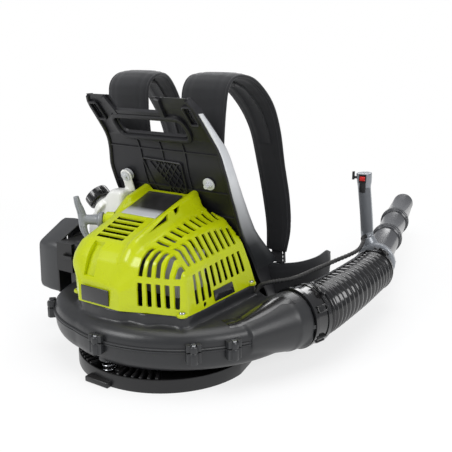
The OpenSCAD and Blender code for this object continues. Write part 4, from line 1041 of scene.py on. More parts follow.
def cover_slots():
    """The cutters for the cooling slots, the windows and the holes of the cover."""
    cutters = []
    for k in range(9):
        low = 157 if k < 6 else 143
        cutters.append(slot_block((90, 9, 193 - low), (165, 32 - 19 * k, (193 + low) / 2)))
        cutters.append(slot_block((90, 9, 34), (163, 32 - 19 * k, 222)))
        cutters.append(slot_block((28, 9, 90), (94, 26 - 18 * k, 255)))
    for k in range(5):
        cutters.append(slot_block((9, 50, 40), (150 - 15 * k, -165, 162)))
        cutters.append(slot_block((9, 50, 44), (150 - 15 * k, -161, 214)))
        cutters.append(slot_block((60, 9.5, 60), (-5, -86 - 13 * k, 250)))
    for window in (((-122, 249), (-66, 272), (-72, 261)), ((-51, 276), (-33, 281), (-42, 270), (-51, 267))):
        cutters.append(loft("window", [[(x, y, z) for y, z in window] for x in (60, 84)]))
    hole = rod("access_hole", (156, -100, 137), (186, -100, 137), 4.5, 24)
    guide = tube("guide_hole", [on_rope(s) for s in (70, 90, 114)], 15.3, 32)
    return cutters + [hole, guide, box("intake_window", (30, 66, 44), (-80, -59, 175))]


# The recess in the cover's rear face, as (y, z) corners of its floor, and then points outside the cover
POCKET = [(-179, 176), (-172, 192), (-166, 205), (-152, 222), (-152, 270), (-240, 270), (-240, 176)]


def prism_x(name, corners, left, right, deeper):
    """A block across the cover, from left to right, with its floor drawn deeper and lower."""
    return loft(name, [[(x, y + deeper, z - deeper) for y, z in corners] for x in (left, right)])


# A ray from a face starts this far off it, looks this far, and has to pass at least this much air
RAY_START, RAY_REACH, FAR_SIDE = 0.0004, 0.5, 0.03


def paint_shade_inside(shell):
    """Paints shade on the faces that look at the shell's own far side: they get a dark green that stands in
    for the shade inside the cover.
    """
    mesh = shell.data
    tree = BVHTree.FromPolygons([v.co for v in mesh.vertices], [tuple(p.vertices) for p in mesh.polygons])
    mesh.materials.append(GREEN_PAINTED_SHADE)
    for face in mesh.polygons:
        start = face.center + face.normal * RAY_START
        hit = tree.ray_cast(start, face.normal, RAY_REACH)
        if hit[0] is not None and hit[3] > FAR_SIDE:
            face.material_index = 1


def make_cover():
    """The engine cover: one moulding with soft corners, open below and toward the backplate."""
    shell = melted(loft("cover_outside", [cover_ring(s, 0, 12, 12) for s in COVER_SECTIONS]), 2.4, 9)
    inner = melted(loft("cover_inside", [cover_ring(s, 2.4) for s in COVER_SECTIONS]), 2.4, 9)
    cut(inner, [prism_x("pocket_wall", POCKET, -31, -1, 2.6)])
    ends = [box("below", (600, 600, 60), (0, 0, PLINTH_TOP - 30)), box("ahead", (600, 60, 600), (0, 87, 200))]
    cut(shell, [inner, prism_x("pocket", POCKET, -28, -4, 0)] + ends + cover_slots(), sharp=34)
    put(shell, GREEN, "engine", "cover_green", "engine_cover")
    # painted shade: a dark green on the inner faces of the cover
    paint_shade_inside(shell)


def slot_block(size, at):
    return box("slot_cutter", size, at, 1.6)


# ---------- starter ----------

ROPE_YAW = 30
ROPE_OFF = 29.05
ROPE_Z = 244
ROPE_START = Vector((ROPE_OFF * sin(radians(ROPE_YAW)), -ROPE_OFF * cos(radians(ROPE_YAW)), ROPE_Z))
ROPE_WAY = Vector((-cos(radians(ROPE_YAW)), -sin(radians(ROPE_YAW)), 0))
COLLAR = 107
GRIP_HEART = Vector((-112, -98, ROPE_Z))


def on_rope(s):
    return ROPE_START + ROPE_WAY * s


def make_grip():
    """The pull grip: a collar and stem that part into two hollowed arms."""
    stem = [on_rope(COLLAR + s) for s in (6, 16, 30, 42)]
    parts = [tube("stem", stem, lambda i: (11, 9.6, 9.0, 10.4)[i], 24)]
    collar = [(COLLAR, 14.2), (COLLAR + 1, 15), (COLLAR + 7, 15), (COLLAR + 9.5, 13), (COLLAR + 10, 11)]
    parts.append(tube("collar", [on_rope(s) for s, _ in collar], lambda i: collar[i][1], 36))
    arms = ([GRIP_HEART, (-114, -100, ROPE_Z + 15), (-118, -103, ROPE_Z + 30), (-120, -105, ROPE_Z + 44)],
            [GRIP_HEART, (-109, -101, ROPE_Z - 12), (-103, -103, ROPE_Z - 22), (-95, -104, ROPE_Z - 31)])
    hollows = []
    toward = Vector((0.55, -0.83, 0))
    for arm in arms:
        path = smooth_path([Vector(p) for p in arm], 6)
        last = len(path) - 1
        parts.append(sweep("arm", path, lambda i: oval(20 - 9.5 * (i / last) ** 1.6, 17 - 7 * i / last, 24),
                           side=toward))
        middle = [p + toward * (10 - 3.8 * i / last) for i, p in enumerate(path)][5:-4]
        for offset in (-3.0, 3.0):
            hollows.append(tube("hollow", [p + ROPE_WAY * offset for p in middle], 1.9, 10))
    grip = join("grip", parts)
    melted(grip, 1.2, 5)
    cut(grip, hollows, sharp=50)
    put(grip, GRIP_GREY, "starter_handle", "grip_grey", "starter_grip")


# ---------- hose ----------

TUBE_START = Vector((255, 410, SEAM))
TUBE_YAW = -14.9
TUBE_WAY = Vector((sin(radians(TUBE_YAW)), cos(radians(TUBE_YAW)), 0))
CUFF_LEN = 44
HOSE_ROUTE = [along_duct(CUFF_LEN), (266.5, 130, SEAM), (267.5, 190, SEAM), (267, 262, SEAM),
              (264, 330, SEAM), TUBE_START - TUBE_WAY * 22, TUBE_START]
HOSE_RIBS = 19
# Two points on the line of the tubes, where the hose and the cable on it would bend when the tubes are
# raised; nothing here bends them
HOSE_BEND = (TUBE_START - TUBE_WAY * 160, TUBE_START - TUBE_WAY * 24)


def make_hose():
    path = smooth_path(HOSE_ROUTE, 40)
    count = len(path) - 1
    near, far = 52.0, 43.0

    def radius(i):
        share = i / count
        full = near + (far - near) * share
        if share < 0.03 or share > 0.955:
            return full - 3
        phase = (share - 0.03) / 0.925 * HOSE_RIBS
        wave = 0.5 + 0.5 * cos(2 * pi * (phase - 0.5))
        return full - 4.5 * (1 - wave ** 0.6)

    hose = tube("hose", path, radius, 48, caps=False)
    inner = tube("hose_bore", path, lambda i: 45.5 + (34.5 - 45.5) * i / count, 48, caps=False)
    put(join("hose_skin", [hose, inner], 60), GLOSS_BLACK, "hose", "hose_black", "flex_hose",
        bend=HOSE_BEND)


CABLE_ROUTE = [(181, 38, 118), (184, 48, 130), (201, 56, 138), (232, 86, 143), (240, 150, 143),
               (241, 235, 138), (244, 341, 134), (228, 412, 134), (215, 440, 134), (212, 452, 134),
               (212, 462.6, 134)]


def make_cable():
    path = smooth_path(CABLE_ROUTE, 30)
    cable = tube("cable_conduit", path, lambda i: 4.4 if i % 4 < 2 else 3.7, 14)
    put(cable, RUBBER, "hose", "rubber_black", "throttle_cable", bend=HOSE_BEND)


# ---------- harness ----------

STRAP_ROUTE = [(80, 23.2, 329, 84), (81, 17.2, 347, 86), (82, 14.5, 385, 88), (86, 10, 445, 94),
               (88, 16, 486, 96), (88, 45, 503, 95), (98, 92, 495, 88), (108, 140, 455, 80),
               (112, 176, 400, 68), (114, 198, 330, 62), (124, 205, 260, 60), (130, 206, 200, 54),
               (130, 200, 152, 44)]
STRAP_STEPS = 8
STRAP_PATH = smooth_path([p[:3] for p in STRAP_ROUTE], STRAP_STEPS)
STRAP_WIDTHS = [p.x for p in smooth_path([(p[3], 0, 0) for p in STRAP_ROUTE], STRAP_STEPS)]
PAD_T = 15


def outward(path, i):
    """The way that the outer face of a strap looks, at point i of its path."""
    return heading(path, i).cross(Vector((1, 0, 0))).normalized()


def pad_height(across):
    """Half thickness of a pad at a share of its half width: crowned, with a sewn channel and flat edges."""
    a = abs(across)
    crown = sqrt(max(0.0, 1 - a ** 3.4))
    channel = 0.22 * (max(0.0, 1 - abs(a - 0.66) / 0.07) if a < 0.95 else 0)
    return max(0.16, crown - channel)


def pad_section(width, thick, sides=28):
    """Outline of a pad: outer face from one edge to the other, then back along the inner face."""
    half = [cos(pi * k / sides) for k in range(sides + 1)]
    outer = [(a * width / 2, pad_height(a) * thick / 2) for a in half]
    inner = [(a * width / 2, -pad_height(a) * thick / 2 * 0.9) for a in reversed(half)]
    return outer + inner


def make_strap(side):
    last = len(STRAP_PATH) - 1
    rings = []
    for i, middle in enumerate(STRAP_PATH):
        up = outward(STRAP_PATH, i)
        end = min(i, last - i)
        thin = 0.55 + 0.45 * smooth_step(end / 4)
        width = STRAP_WIDTHS[i] - 6 * (1 - smooth_step(end / 4)) - 2
        pucker = 1 + 0.05 * sin(i * 1.9)
        rings.append([middle + Vector((a, 0, 0)) + up * b * thin * pucker
                      for a, b in pad_section(width, PAD_T - 1)])
    pad = loft("strap_pad", rings, sharp=70)
    # bound edges
    parts = [pad]
    for edge in (-1, 1):
        path = [middle + Vector((edge * (width - 4) / 2, 0, 0))
                for middle, width in zip(STRAP_PATH, STRAP_WIDTHS)]
        parts.append(tube("binding", path, 3.0, 10))
    name = "right" if side > 0 else "left"
    strap = join("shoulder_pad_" + name, parts, 60)
    # seams beside each edge, as rows of stitches
    stitches = []
    for share in (-0.86, 0.86, -0.66, 0.66):
        for i in range(2, last - 1):
            for step in (0.0, 0.5):
                here = STRAP_PATH[i].lerp(STRAP_PATH[i + 1], step)
                there = STRAP_PATH[i].lerp(STRAP_PATH[i + 1], step + 0.28)
                up = outward(STRAP_PATH, i)
                width = STRAP_WIDTHS[i] - 2
                lift = up * (pad_height(share) * (PAD_T - 1) / 2 + 0.15)
                shift = Vector((share * width / 2, 0, 0))
                stitches.append(tube("stitch", [here + shift + lift, there + shift + lift], 0.45, 5))
    thread = join("strap_stitches_" + name, stitches)
    if side < 0:
        for piece in (strap, thread):
            mirrored(piece)
    put(strap, PAD_CLOTH, "carrier", "pad_fabric", "shoulder_strap_" + name)
    put(thread, THREAD, "carrier", "pad_fabric")


def make_straps():
    for side in (1, -1):
        make_strap(side)


def swollen(piece, cap, pressure=4.0, voxel=5.0):
    """Fills a pad out by cloth simulation, and holds each point within a distance of where it was."""
    remesh = piece.modifiers.new("remesh", "REMESH")
    remesh.mode = "VOXEL"
    remesh.voxel_size = voxel * MM
    bake(piece)
    start = [v.co.copy() for v in piece.data.vertices]
    cloth = piece.modifiers.new("cloth", "CLOTH")
    cloth.settings.quality = 5
    cloth.settings.mass = 0.3
    cloth.settings.tension_stiffness = 20
    cloth.settings.compression_stiffness = 20
    cloth.settings.bending_stiffness = 0.8
    cloth.settings.use_pressure = True
    cloth.settings.uniform_pressure_force = pressure
    cloth.settings.effector_weights.gravity = 0
    cloth.point_cache.frame_start = 1
    cloth.point_cache.frame_end = 20
    for step in range(1, 21):
        scene.frame_set(step)
    bake(piece)
    scene.frame_set(1)
    for vertex, before in zip(piece.data.vertices, start):
        move = vertex.co - before
        if move.length > cap * MM:
            vertex.co = before + move.normalized() * cap * MM
    return piece


BACK_LEVELS = heights(115, 304, 7)
BACK_T = 28


def make_back_pad():
    last = len(BACK_LEVELS) - 1
    rings = []
    for k, z in enumerate(BACK_LEVELS):
        end = min(k, last - k)
        half = 108 - 12 * (1 - smooth_step(end / 3))
        thick = (BACK_T - 3) * (0.45 + 0.55 * smooth_step(end / 3.5))
        base = plate_y(z) + PLATE_T + 0.6
        ring = []
        shares = [-1 + 2 * i / 40 for i in range(41)]
        for a in shares:
            crown = sqrt(max(0.0, 1 - abs(a) ** 6))
            dip = 0.24 * max(0.0, 1 - abs(abs(a) - 0.46) / 0.09)
            dip += 0.2 * max(0.0, 1 - abs(a) / 0.07)
            row = 0.16 * max(0.0, 1 - abs(((z - 115) % 63) - 31.5) / 6) if 130 < z < 290 else 0
            ring.append((a * half, base + thick * max(0.3, crown - dip - row), z))
        ring += [(half * 0.97, base, z), (0, base, z), (-half * 0.97, base, z)]
        rings.append(ring)
    pad = loft("back_cushion", rings, sharp=70)
    swollen(pad, 2.0, 2.0)
    put(pad, PAD_CLOTH, "carrier", "pad_fabric", "back_pad")


HIP_ROUTE = [(66, 172, 95), (110, 177, 95), (146, 194, 95), (172, 224, 95), (184, 271, 95),
             (181, 318, 95), (174, 357, 95)]


def make_hip_pads():
    path = smooth_path(HIP_ROUTE, 6)
    ends = [min(i, len(path) - 1 - i) for i in range(len(path))]
    shrink = [1 - smooth_step(end / 5) for end in ends]
    rings = []
    for i, middle in enumerate(path):
        out = Vector((0, 0, 1)).cross(heading(path, i)).normalized()
        thin = 0.5 + 0.5 * smooth_step(ends[i] / 4)
        section = pad_section(66 - 20 * shrink[i], PAD_T - 1.5)
        rings.append([middle + Vector((0, 0, -a)) + out * b * thin for a, b in section])
    parts = [loft("hip_pad", rings, sharp=70)]
    for s in (-1, 1):
        edge = [p + Vector((0, 0, s * (31 - 10 * less))) for p, less in zip(path, shrink)]
        parts.append(tube("hip_binding", edge, 2.6, 10))
    both = both_sides("hip_cushions", parts, 60)
    put(both, PAD_CLOTH, "carrier", "pad_fabric", "hip_pads")


WEB_ROUTE = [(131, 200, 151.7), (133, 197.5, 146), (134.8, 194.8, 140), (136.5, 192.6, 135),
             (138, 190.5, 130.4)]


WEB_PATH = smooth_path(WEB_ROUTE, 4)
WEB_WIDTH = 25
# Half of the outline of webbing with ribbed edges, as shares of its half width and half thickness
WEB_EDGE = [(-1, 0), (-0.97, 0.8), (-0.88, 1), (-0.84, 0.7), (0.84, 0.7), (0.88, 1), (0.97, 0.8)]


def web_tape(path, thick, ups):
    """Flat webbing along a path, from the way that its face looks."""
    section = WEB_EDGE + [(-a, -b) for a, b in WEB_EDGE]
    rings = [[middle + Vector((a * WEB_WIDTH / 2, 0, 0)) + up * b * thick / 2 for a, b in section]
             for middle, up in zip(path, ups)]
    return loft("webbing", rings, sharp=60)


def strap_tape(first, last, gap, thick):
    """Webbing on the outer face of the shoulder pad, from one point of its path up to another."""
    ups = [outward(STRAP_PATH, i) for i in range(first, last)]
    path = [middle + up * (PAD_T / 2 * 0.98 + gap) for middle, up in zip(STRAP_PATH[first:last], ups)]
    return web_tape(path, thick, ups)


def make_webbing():
    ups = [outward(WEB_PATH, i) for i in range(len(WEB_PATH))]
    parts = [web_tape(WEB_PATH, 2, ups), strap_tape(44, 68, 1.2, 2), strap_tape(42, 50, 3.4, 1.6)]
    put(both_sides("harness_tapes", parts, 50), WEBBING, "carrier", "webbing_black", "strap_webbing")


def ladder_lock(middle, way, up):
    """A ladder-lock buckle: two side rails, four bars and a thumb lip."""
    across = way.cross(up).normalized()
    turn = Matrix((across, way, up)).transposed().to_4x4()
    turn.translation = middle * MM
    parts = []
    for s in (-1, 1):
        parts.append(box("rail", (3.8, 26, 6), (s * 14, 0, 1.5), 1.4))
    for y, z in ((-11.5, 1), (-3.5, 2.5), (4.5, 1.5), (11.5, 3)):
        parts.append(box("bar", (28, 3.6, 3.2), (0, y, z), 1.2))
    parts.append(box("lip", (24, 5, 3), (0, 14.5, 4.5), 1.2))
    return [moved(piece, turn) for piece in parts]


def make_buckles():
    i = 44
    up = outward(STRAP_PATH, i)
    parts = ladder_lock(STRAP_PATH[i] + up * (PAD_T / 2 + 2.4), heading(STRAP_PATH, i), up)
    i = 8
    up = -outward(WEB_PATH, i)
    parts += ladder_lock(WEB_PATH[i] + up * 2.4, heading(WEB_PATH, i), up)
    put(both_sides("ladder_locks", parts), BLACK, "carrier", "black_plastic", "strap_buckles")


# ---------- tank and air filter ----------

CAP_AT = Vector((-158.5, 4, 251.5))
CAP_TILT = -48.65


def at_cap():
    return translation(*CAP_AT) @ rotation(CAP_TILT, "Y")


def make_tank():
    """The fuel tank: one moulded bottle with a neck and a tab that reaches the upper stud."""
    front = [(150, 60), (200, 60), (245, 40), (285, 20)]
    rings = []
    for z in (150, 160, 200, 222, 245, 265, 285):
        outer = -190 if z < 215 else -190 + (z - 215) * 65 / 70
        y1 = lookup(z, front)
        rings.append([(outer, -12, z), (-92, -12, z), (-92, y1, z), (outer, y1, z)])
    body = loft("tank_body", rings)
    bevelled(body, 9, 4, 40)
    neck = moved(turned("neck", [(0, -14), (15, -14), (15, 16), (0, 16)], 32), at_cap())
    collar = moved(turned("collar", [(0, -16), (26, -16), (24, -4), (17, 1), (0, 1)], 32), at_cap())
    tab_plate = box("tab_plate", (24, 36, 4), (0, -16, 11), 1.5)
    tab_ring = turned("tab_ring", [(0, 9.5), (14, 9.5), (14, 12.5), (0, 12.5)], 32)
    tab = [moved(p, at_stud(-1)) for p in (tab_plate, tab_ring)]
    tank = melted(join("tank", [body, neck, collar] + tab), 1.8, 5)
    hole = moved(turned("tab_hole", [(0, 2), (8, 2), (8, 40), (0, 40)], 32), at_stud(-1))
    mouth = moved(turned("mouth", [(0, 6), (12, 6), (12, 40), (0, 40)], 32), at_cap())
    cut(tank, [hole, mouth], sharp=50)
    put(tank, TANK, "engine", "tank_white", "fuel_tank")


def cap_rib(r, z, a):
    """How far the ribs of the fuel cap stand out."""
    rib = abs((a / (2 * pi) * 24 % 1) - 0.5) * 2 > 0.32
    return 0.75 * rib if 5 < z < 26 and r > 20 else 0


def make_cap():
    profile = [(17, 4), (22.6, 4), (23.8, 6), (24.2, 9), (24.2, 22), (23.4, 25), (21.4, 26.5), (18, 26.2),
               (17, 25.2), (8, 25.2), (0.01, 25.2)]
    cap = turned("cap_shell", profile, 144, 30, cap_rib)
    inner = turned("cap_thread", [(16, 20.4), (16, 4), (17.4, 4), (17.4, 20.4), (16, 20.4)], 48)
    top = turned("cap_roof", [(16.4, 20.4), (0, 20.4)], 48)
    bar = bevelled(box("thumb_bar", (31, 7, 6), (0, 0, 27)), 1.4, 3)
    cap = join("cap_whole", [cap, inner, top, bar], 30)
    put(moved(cap, at_cap()), GLOSS_BLACK, "cap", "black_plastic", "fuel_cap")


FILTER_OUT = -256
FILTER_IN = -199.3


def make_filter_cover():
    """The outer half of the air filter box, with its sloped top and a recessed face round the knob."""
    outline = [(-88, 80), (-8, 80), (-8, 216), (-82, 182), (-88, 172)]

    def ring(x, drawn, radius):
        return [(x, p.x, p.y) for p in rounded_outline(inset(outline, drawn), radius, 4)]

    outer = ((FILTER_IN, 0), (-226, 0), (-250, 2.5), (FILTER_OUT, 7))
    shell = loft("filter_shell", [ring(x, drawn, 9) for x, drawn in outer], sharp=40)
    hollow = loft("filter_hollow", [ring(x + 4, 3, 7) for x in (FILTER_IN, FILTER_OUT)])
    well = moved(turned("well", [(0, 0), (15, 0), (17, 12), (0, 12)], 40), at_knob(-252))
    screw = moved(turned("screw_hole", [(0, -12), (4, -12), (4, 12), (0, 12)], 24), at_knob(-252))
    cut(shell, [hollow, well, screw], sharp=40)
    parts = [bevelled(shell, 1.0, 2, 40, 45)]
    for k in range(3):
        parts.append(box("face_rib", (3, 54, 2.4), (FILTER_OUT + 0.4, -48, 108 - 9 * k), 1))
    put(join("filter_lid_shell", parts, 40), FILTER_GREY, "filter_lid", "charcoal_plastic", "filter_cover")


def at_knob(x):
    """The knob's axis points left, away from the machine."""
    return translation(x, -48, 150) @ rotation(-90, "Y")


def knob_flute(r, z, a):
    """How far the flutes of the knob go in, as a negative length."""
    return -max(0.0, cos(8 * a)) ** 2 if z > 256 and r > 10 else 0


def make_filter_knob():
    profile = [(3.5, 224), (3.5, 255), (9, 255.5), (11.4, 256.5), (11.6, 262), (10.4, 263.2), (0.01, 263.2)]
    knob = turned("knob", profile, 96, 35, knob_flute)
    put(moved(knob, at_knob(0)), GLOSS_BLACK, "filter_screw", "black_plastic", "filter_knob")


# ---------- clamps, tubes and handle ----------

def level_axis(point, yaw):
    """A frame whose Z runs level from a point, at a yaw from straight ahead."""
    return translation(*point) @ (rotation(-yaw) @ rotation(-90, "X"))


def on_tube(t):
    return level_axis(TUBE_START + TUBE_WAY * t, TUBE_YAW)


def at_duct(s):
    return level_axis(along_duct(s), DUCT_YAW)


def worm_clamp(radius, width):
    """A hose clamp: slotted band, screw box and hex-headed screw, about Z from 0 to its width."""
    parts = [turned("band", [(radius, 0), (radius + 1.5, 0), (radius + 1.5, width), (radius, width)], 96)]
    for k in range(26):
        slot = box("slot", (0.8, 1.6, width * 0.55), (radius + 1.5, 0, width / 2), 0.3)
        parts.append(moved(slot, rotation(-40 + 3.2 * k)))
    parts.append(box("screw_box", (9, 14, width + 1), (radius + 5.2, 0, width / 2), 1.6))
    parts.append(box("tail", (2.4, 20, width), (radius + 2.6, -15, width / 2), 0.9))
    screw = turned("screw", [(0, -14), (3.6, -14), (3.6, -9), (2.2, -9), (2.2, 10), (0, 10)], 6)
    parts.append(moved(screw, translation(radius + 6, 0, width / 2)
                       @ rotation(-90, "X")))
    return join("clamp", parts, 40)


def make_clamps():
    rear = moved(worm_clamp(54.1, 9), at_duct(33.5) @ rotation(-60))
    put(rear, GLOSS_BLACK, "engine", "black_plastic", "hose_clamp_rear")
    front = moved(worm_clamp(44.8, 9), on_tube(-24) @ rotation(-60))
    put(front, GLOSS_BLACK, "blower_tube", "black_plastic", "hose_clamp_front")


def make_cuff():
    """The rubber cuff between the outlet and the hose, stepped and lugged."""
    profile = [(49, 0), (56, 0), (56, 8), (54.4, 9), (54, 13), (54, 30), (54, 43), (52.8, 44), (49, 44)]
    parts = [turned("cuff_ring", profile, 96)]
    for a in (30, 150, 210, 330):
        for shift in (-5, 5):
            lug = box("lug", (7, 3.2, 22), (56, shift, 19), 1.2)
            parts.append(moved(lug, rotation(a)))
        parts.append(moved(box("lug_back", (4.5, 12, 18), (55.4, 0, 18), 1.2), rotation(a)))
    put(moved(join("cuff", parts, 40), at_duct(0)), GLOSS_BLACK, "engine", "charcoal_plastic", "hose_cuff")


JOINT_1 = 262
JOINT_2 = 448
NOZZLE_LEN = 245


def turned_tube(name, profile, body, slot, node):
    piece = turned(name, profile, 96, 40)
    return put(moved(piece, on_tube(0)), CHARCOAL_GLOSS, body, slot, node)


def make_tubes():
    """Three blower tubes, each with its locking ring, seal groove and soft steps."""
    lower = [(30, -18), (32, -18), (32, 0.5), (39, 0.5), (40, 1.5), (40, 3.3), (39, 4.3), (32.4, 5),
             (32, 8), (32, 236), (33, 240), (36, 242), (36, 253), (37.5, 254), (37.5, 261),
             (36.6, 261.7), (30, 261.7), (30, -18)]
    turned_tube("tube_lower", lower, "blower_tube", "tube_charcoal", "lower_tube")
    middle = [(28, 238), (29.9, 238), (29.9, 262.5), (36, 262.5), (37, 263.4), (37, 268.3), (35.6, 269.3),
              (32.6, 270.5),
              (32, 274), (32, 422), (33, 426), (36, 428), (36, 439), (37.5, 440), (37.5, 447), (36.6, 447.7),
              (30, 447.7), (30, 264.5), (28, 264), (28, 238)]
    turned_tube("tube_middle", middle, "mid_tube", "tube_charcoal", "middle_tube")
    tip = JOINT_2 + 0.3 + NOZZLE_LEN
    nozzle = [(28, 424), (29.9, 424), (29.9, 448.5), (36, 448.5), (37, 449.4), (37, 454.3),
              (35.6, 455.3), (32.6, 456.5), (32, 460), (29.3, tip - 6), (29.6, tip - 5),
              (29.4, tip - 0.6), (28.6, tip), (27.4, tip), (27, tip - 1), (27, tip - 31), (29.8, 450.5),
              (28, 450), (28, 424)]
    turned_tube("tube_nozzle", nozzle, "nozzle", "tube_charcoal", "nozzle_tube")
    # dark seals in the two joints
    for t, body, name in ((JOINT_1, "mid_tube", "seal_near"), (JOINT_2, "nozzle", "seal_far")):
        ring = turned(name, [(36.4, t + 0.35), (37.9, t + 0.8), (37.9, t + 2.0), (36.4, t + 2.4)], 96)
        put(moved(ring, on_tube(0)), BLACK, body, "black_plastic")


# The handle stands on the tube: x inboard, y along the tube and z up from the tube's axis
STEM_FOOT = Vector((-24, 77, 40))
STEM_TOP = Vector((-38, 80, 172))


def on_handle():
    return translation(*TUBE_START) @ rotation(-TUBE_YAW)


def oval(width, depth, sides=28):
    return [(width / 2 * cos(2 * pi * k / sides), depth / 2 * sin(2 * pi * k / sides)) for k in range(sides)]


def make_handle():
    """The control handle: clamp ring, swept foot, oval stem and a flared head with a switch seat."""
    route = smooth_path([(-13, 58, 30), (-20, 70, 38), (-26, 77, 54), (-30.5, 78.3, 100), (-38, 80, 160),
                         (-39, 80, 176), (-40.4, 80, 197)], 6)
    count = len(route) - 1

    def section(i):
        share = i / count
        size = lookup(share, [(0, 26), (0.2, 29), (0.5, 28.5), (0.7, 29.5), (0.84, 33), (0.95, 35), (1, 34)])
        return circle(size / 2, 32)
    stem = sweep("stem", route, section, side=(0, 1, 0))
    clamp = [(32.3, 38), (41, 38), (43.5, 40), (43.5, 52), (39, 70), (36.5, 74), (32.3, 74)]
    ring = moved(turned("clamp_ring", clamp, 72), on_tube(0))
    fillet = turned("foot", [(0, -12), (20, -12), (17, 4), (15, 14), (0, 14)], 32)
    moved(fillet, translation(-20, 70, 38) @ rotation(-22, "Y"))
    stem = melted(join("stem_form", [stem, fillet]), 1.5, 4)
    moved(stem, on_handle())
    bore = moved(turned("bore", [(0, 20), (32.3, 20), (32.3, 90), (0, 90)], 64), on_tube(0))
    seat = moved(box("seat", (13, 12, 15), (-41, 62, 186), 1.5), on_handle())
    slot = moved(box("slot", (10.6, 26, 47), (-41, 98, 165.5), 1.2), on_handle())
    pivot = moved(rod("pivot", (-66, 77, 186), (-46, 77, 186), 3.1, 20), on_handle())
    cut(stem, [bore, seat, slot, pivot], sharp=45)
    pin = moved(rod("pin", (-49, 93, 184), (-33, 93, 184), 1.5, 16), on_handle())
    ears = [moved(box("ear", (7, 5, 14), (40 * s, 0, 56), 1.2), on_tube(0)) for s in (-1, 1)]
    put(join("handle_shell", [stem, ring, pin] + ears, 45), HANDLE, "handle", "handle_grey", "handle_body")
    bezel = box("switch_bezel", (17, 4, 20), (-41, 62.5, 186), 1.6)
    bezel_hole = box("bezel_hole", (12.8, 12, 14.6), (-41, 62, 186), 1.0)
    cut(bezel, [bezel_hole], sharp=40)
    panel = box("switch_panel", (14, 3, 24), (-40.4, 63.2, 166), 1.2)
    put(moved(join("switch_surround", [bezel, panel], 40), on_handle()), BLACK, "handle", "black_plastic")
    rocker = rod("rocker", (-47.1, 62, 186), (-34.9, 62, 186), 5, 32)
    face = box("rocker_face", (12.2, 5, 9), (-41, 60, 186), 1.2)
    switch = join("switch_rocker", [rocker, face], 40)
    put(moved(switch, on_handle()), RED, "switch", "switch_red", "stop_switch")


def make_grip_sleeve():
    """The soft rubber on the near side of the handle, ribbed for the fingers."""
    levels = heights(64, 164, 26)
    rings = []
    for k, z in enumerate(levels):
        share = (z - 43) / 132
        middle = STEM_FOOT.lerp(STEM_TOP, share)
        end = min(k, len(levels) - 1 - k)
        swell = 0.7 * smooth_step(end / 2) + (0.5 if k % 2 else 0)
        outer, inner = [], []
        for i in range(25):
            a = radians(215) + radians(110) * i / 24
            across, behind = (15.0 + swell) * cos(a), (15.2 + swell) * sin(a)
            outer.append(Vector((middle.x + across, middle.y - 1.6 + behind, z)))
            inner.append(Vector((middle.x + 14.6 * cos(a), middle.y + 14.6 * sin(a), z)))
        rings.append(outer + inner[::-1])
    sleeve = loft("grip_sleeve", rings, sharp=50)
    put(moved(sleeve, on_handle()), SOFT_GREY, "handle", "rubber_black", "handle_grip")


# ---------- base foot ----------

FOOT_C = Vector((43, -49))
FOOT_R = 163


def foot_outline(grow):
    """The foot seen from above: round at the rear, straight at the front."""
    points = []
    for k in range(97):
        a = radians(180 + 180 * k / 96)
        points.append((FOOT_C.x + (FOOT_R + grow) * cos(a), FOOT_C.y + (FOOT_R + grow) * sin(a)))
    side = 142 + grow
    front = [(196 + grow, 0), (160 + grow, 140), (side, 190 + grow), (-side, 190 + grow), (-side, 110)]
    return points + front


# The rim from its lower edge over its top to the floor: how far out, and how high
FOOT_RIM = [(-0.5, 0), (0, 1.5), (0, 21), (-0.6, 23.4), (-2, 24), (-3.4, 23.4), (-4, 21), (-4, 8.5),
            (-6.5, 8)]
# The comb ribs leave a gap for the heel
COMB_ANGLES = [a for a in range(-138, -57, 5) if not -104 <= a <= -88]
SEAT = [(0, 7.5), (16.3, 7.5), (16.3, 13.4), (15.6, 14), (9.1, 14), (9.1, 19), (8, 20), (0, 20)]


def make_foot():
    """The base foot: floor, rolled rim, comb ribs along the rear edge, spring seats and lugs."""
    rim = [[(x, y, z) for x, y in foot_outline(grow)] for grow, z in FOOT_RIM]
    parts = [loft("foot_shell", rim, sharp=40)]
    for a in COMB_ANGLES:
        turn = translation(FOOT_C.x, FOOT_C.y, 8) @ rotation(a)
        rib = box("comb", (33, 5, 18.6), (FOOT_R - 19.5, 0, 9.4), 1.3)
        parts.append(moved(rib, turn))
    for x, y in SPRING_SEATS:
        parts.append(moved(turned("seat", SEAT, 40), translation(x, y)))
    parts.append(box("heel", (52, 20, 10), (25, -211, 5), 2))
    parts.append(box("bracket", (10, 24, 14), (47, -180, 15), 1.2))
    for x in range(-100, 101, 50):
        parts.append(box("floor_rib", (3, 120, 5), (x, 110, 10), 1))
    put(join("foot", parts, 40), BLACK, "carrier", "charcoal_plastic", "base_foot")


# ---------- bare plates ----------

def cover_panel_z(y):
    return lookup(y, [(s[2], s[8]) for s in COVER_SECTIONS])


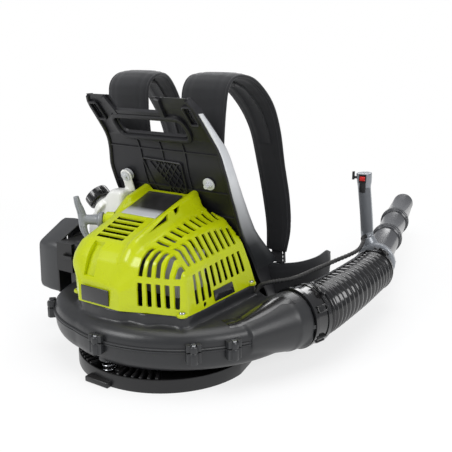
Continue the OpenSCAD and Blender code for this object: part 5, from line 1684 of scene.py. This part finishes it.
def make_plates():
    """Bare badge plates on the cover: on its panel, on its rear face and low on its right side."""
    rings = []
    for y in heights(-72, 8, 10):
        z = cover_panel_z(y)
        rings.append([(-40, y, z + 0.3), (40, y, z + 0.3), (40, y, z + 1.8), (-40, y, z + 1.8)])
    top = bevelled(loft("panel_badge", rings), 0.6, 2)
    put(top, BADGE, "engine", "black_plastic")
    front = box("front_badge", (62, 2.4, 27.5), (3, -191.6, 147.5), 0.9)
    put(front, BADGE_PLAIN, "engine", "black_plastic")
    rings = []
    for y in heights(-72, -14, 12):
        foot_x = lookup(y, [(s[0], s[3]) for s in COVER_SECTIONS])
        band_x = lookup(y, [(s[0], (s[3] + s[4]) / 2 + 2) for s in COVER_SECTIONS])
        low, high = (foot_x + (band_x - foot_x) * (z - PLINTH_TOP) / 34 for z in (134, 152))
        rings.append([(low - 1, y, 134), (high - 1, y, 152), (high + 0.9, y, 152), (low + 0.9, y, 134)])
    put(bevelled(loft("side_label", rings), 0.4, 2), BADGE_PLAIN, "engine", "black_plastic")


def make_cover_lugs():
    """Lugs with screws that hold the cover down."""
    ear = [(0, 130.2), (9, 130.2), (9.6, 131.2), (9.6, 134.4), (8.6, 135.4), (0, 135.4)]
    socket = [(0, 135), (5.2, 135), (5.2, 137.4), (4.4, 138.4), (2.6, 138.4), (2.4, 136.6), (0, 136.6)]
    lugs, screws = [], []
    for x, y in ((158, -152), (-66, -160), (166, 44), (-76, 44)):
        lug = turned("lug", ear, 40)
        lugs.append(moved(lug, translation(x, y)))
        head = turned("head", socket, 24)
        screws.append(moved(head, translation(x, y)))
    put(join("cover_lugs", lugs, 40), GREEN, "engine", "cover_green")
    put(join("cover_screws", screws, 40), STEEL, "engine", "steel_fasteners")


def make_outlet_label():
    """A bare label that follows the curve of the housing."""
    graph = bpy.context.evaluated_depsgraph_get()
    housing = bpy.data.objects["housing_upper"]
    graph.update()
    columns, rows = 24, 10
    points, faces = [], []
    for i in range(columns + 1):
        for k in range(rows + 1):
            angle = -25 + 29 * i / columns
            reach = scroll_r(angle) - 44 + 30 * k / rows
            spot = Vector((reach * cos(radians(angle)), reach * sin(radians(angle)), 0))
            hit, where, normal, _ = housing.ray_cast(Vector((spot.x, spot.y, 200)) * MM, Vector((0, 0, -1)))
            points.append((where + normal * RAY_START) / MM if hit else spot)
    for i in range(columns):
        for k in range(rows):
            a = i * (rows + 1) + k
            faces.append((a, a + rows + 1, a + rows + 2, a + 1))
    label = new_piece("outlet_label", points, faces, 60)
    put(label, BADGE_PLAIN, "engine", "charcoal_plastic")


PIECES = [make_cable, make_hose, make_cuff, make_clamps, make_tubes, make_handle, make_grip_sleeve,
          make_backplate, make_anchor_rods, make_trims, make_foot, make_springs, make_housing,
          make_outlet_label, make_cover, make_plates, make_cover_lugs, make_grip, make_tank, make_cap,
          make_filter_cover, make_filter_knob, make_straps, make_back_pad, make_hip_pads, make_webbing,
          make_buckles]


# ---------- the scene ----------

set_camera()
make_floor()
set_world()
set_lights()
finish_nodes()
for make in PIECES:
    make()

scene.view_settings.view_transform = "Standard"
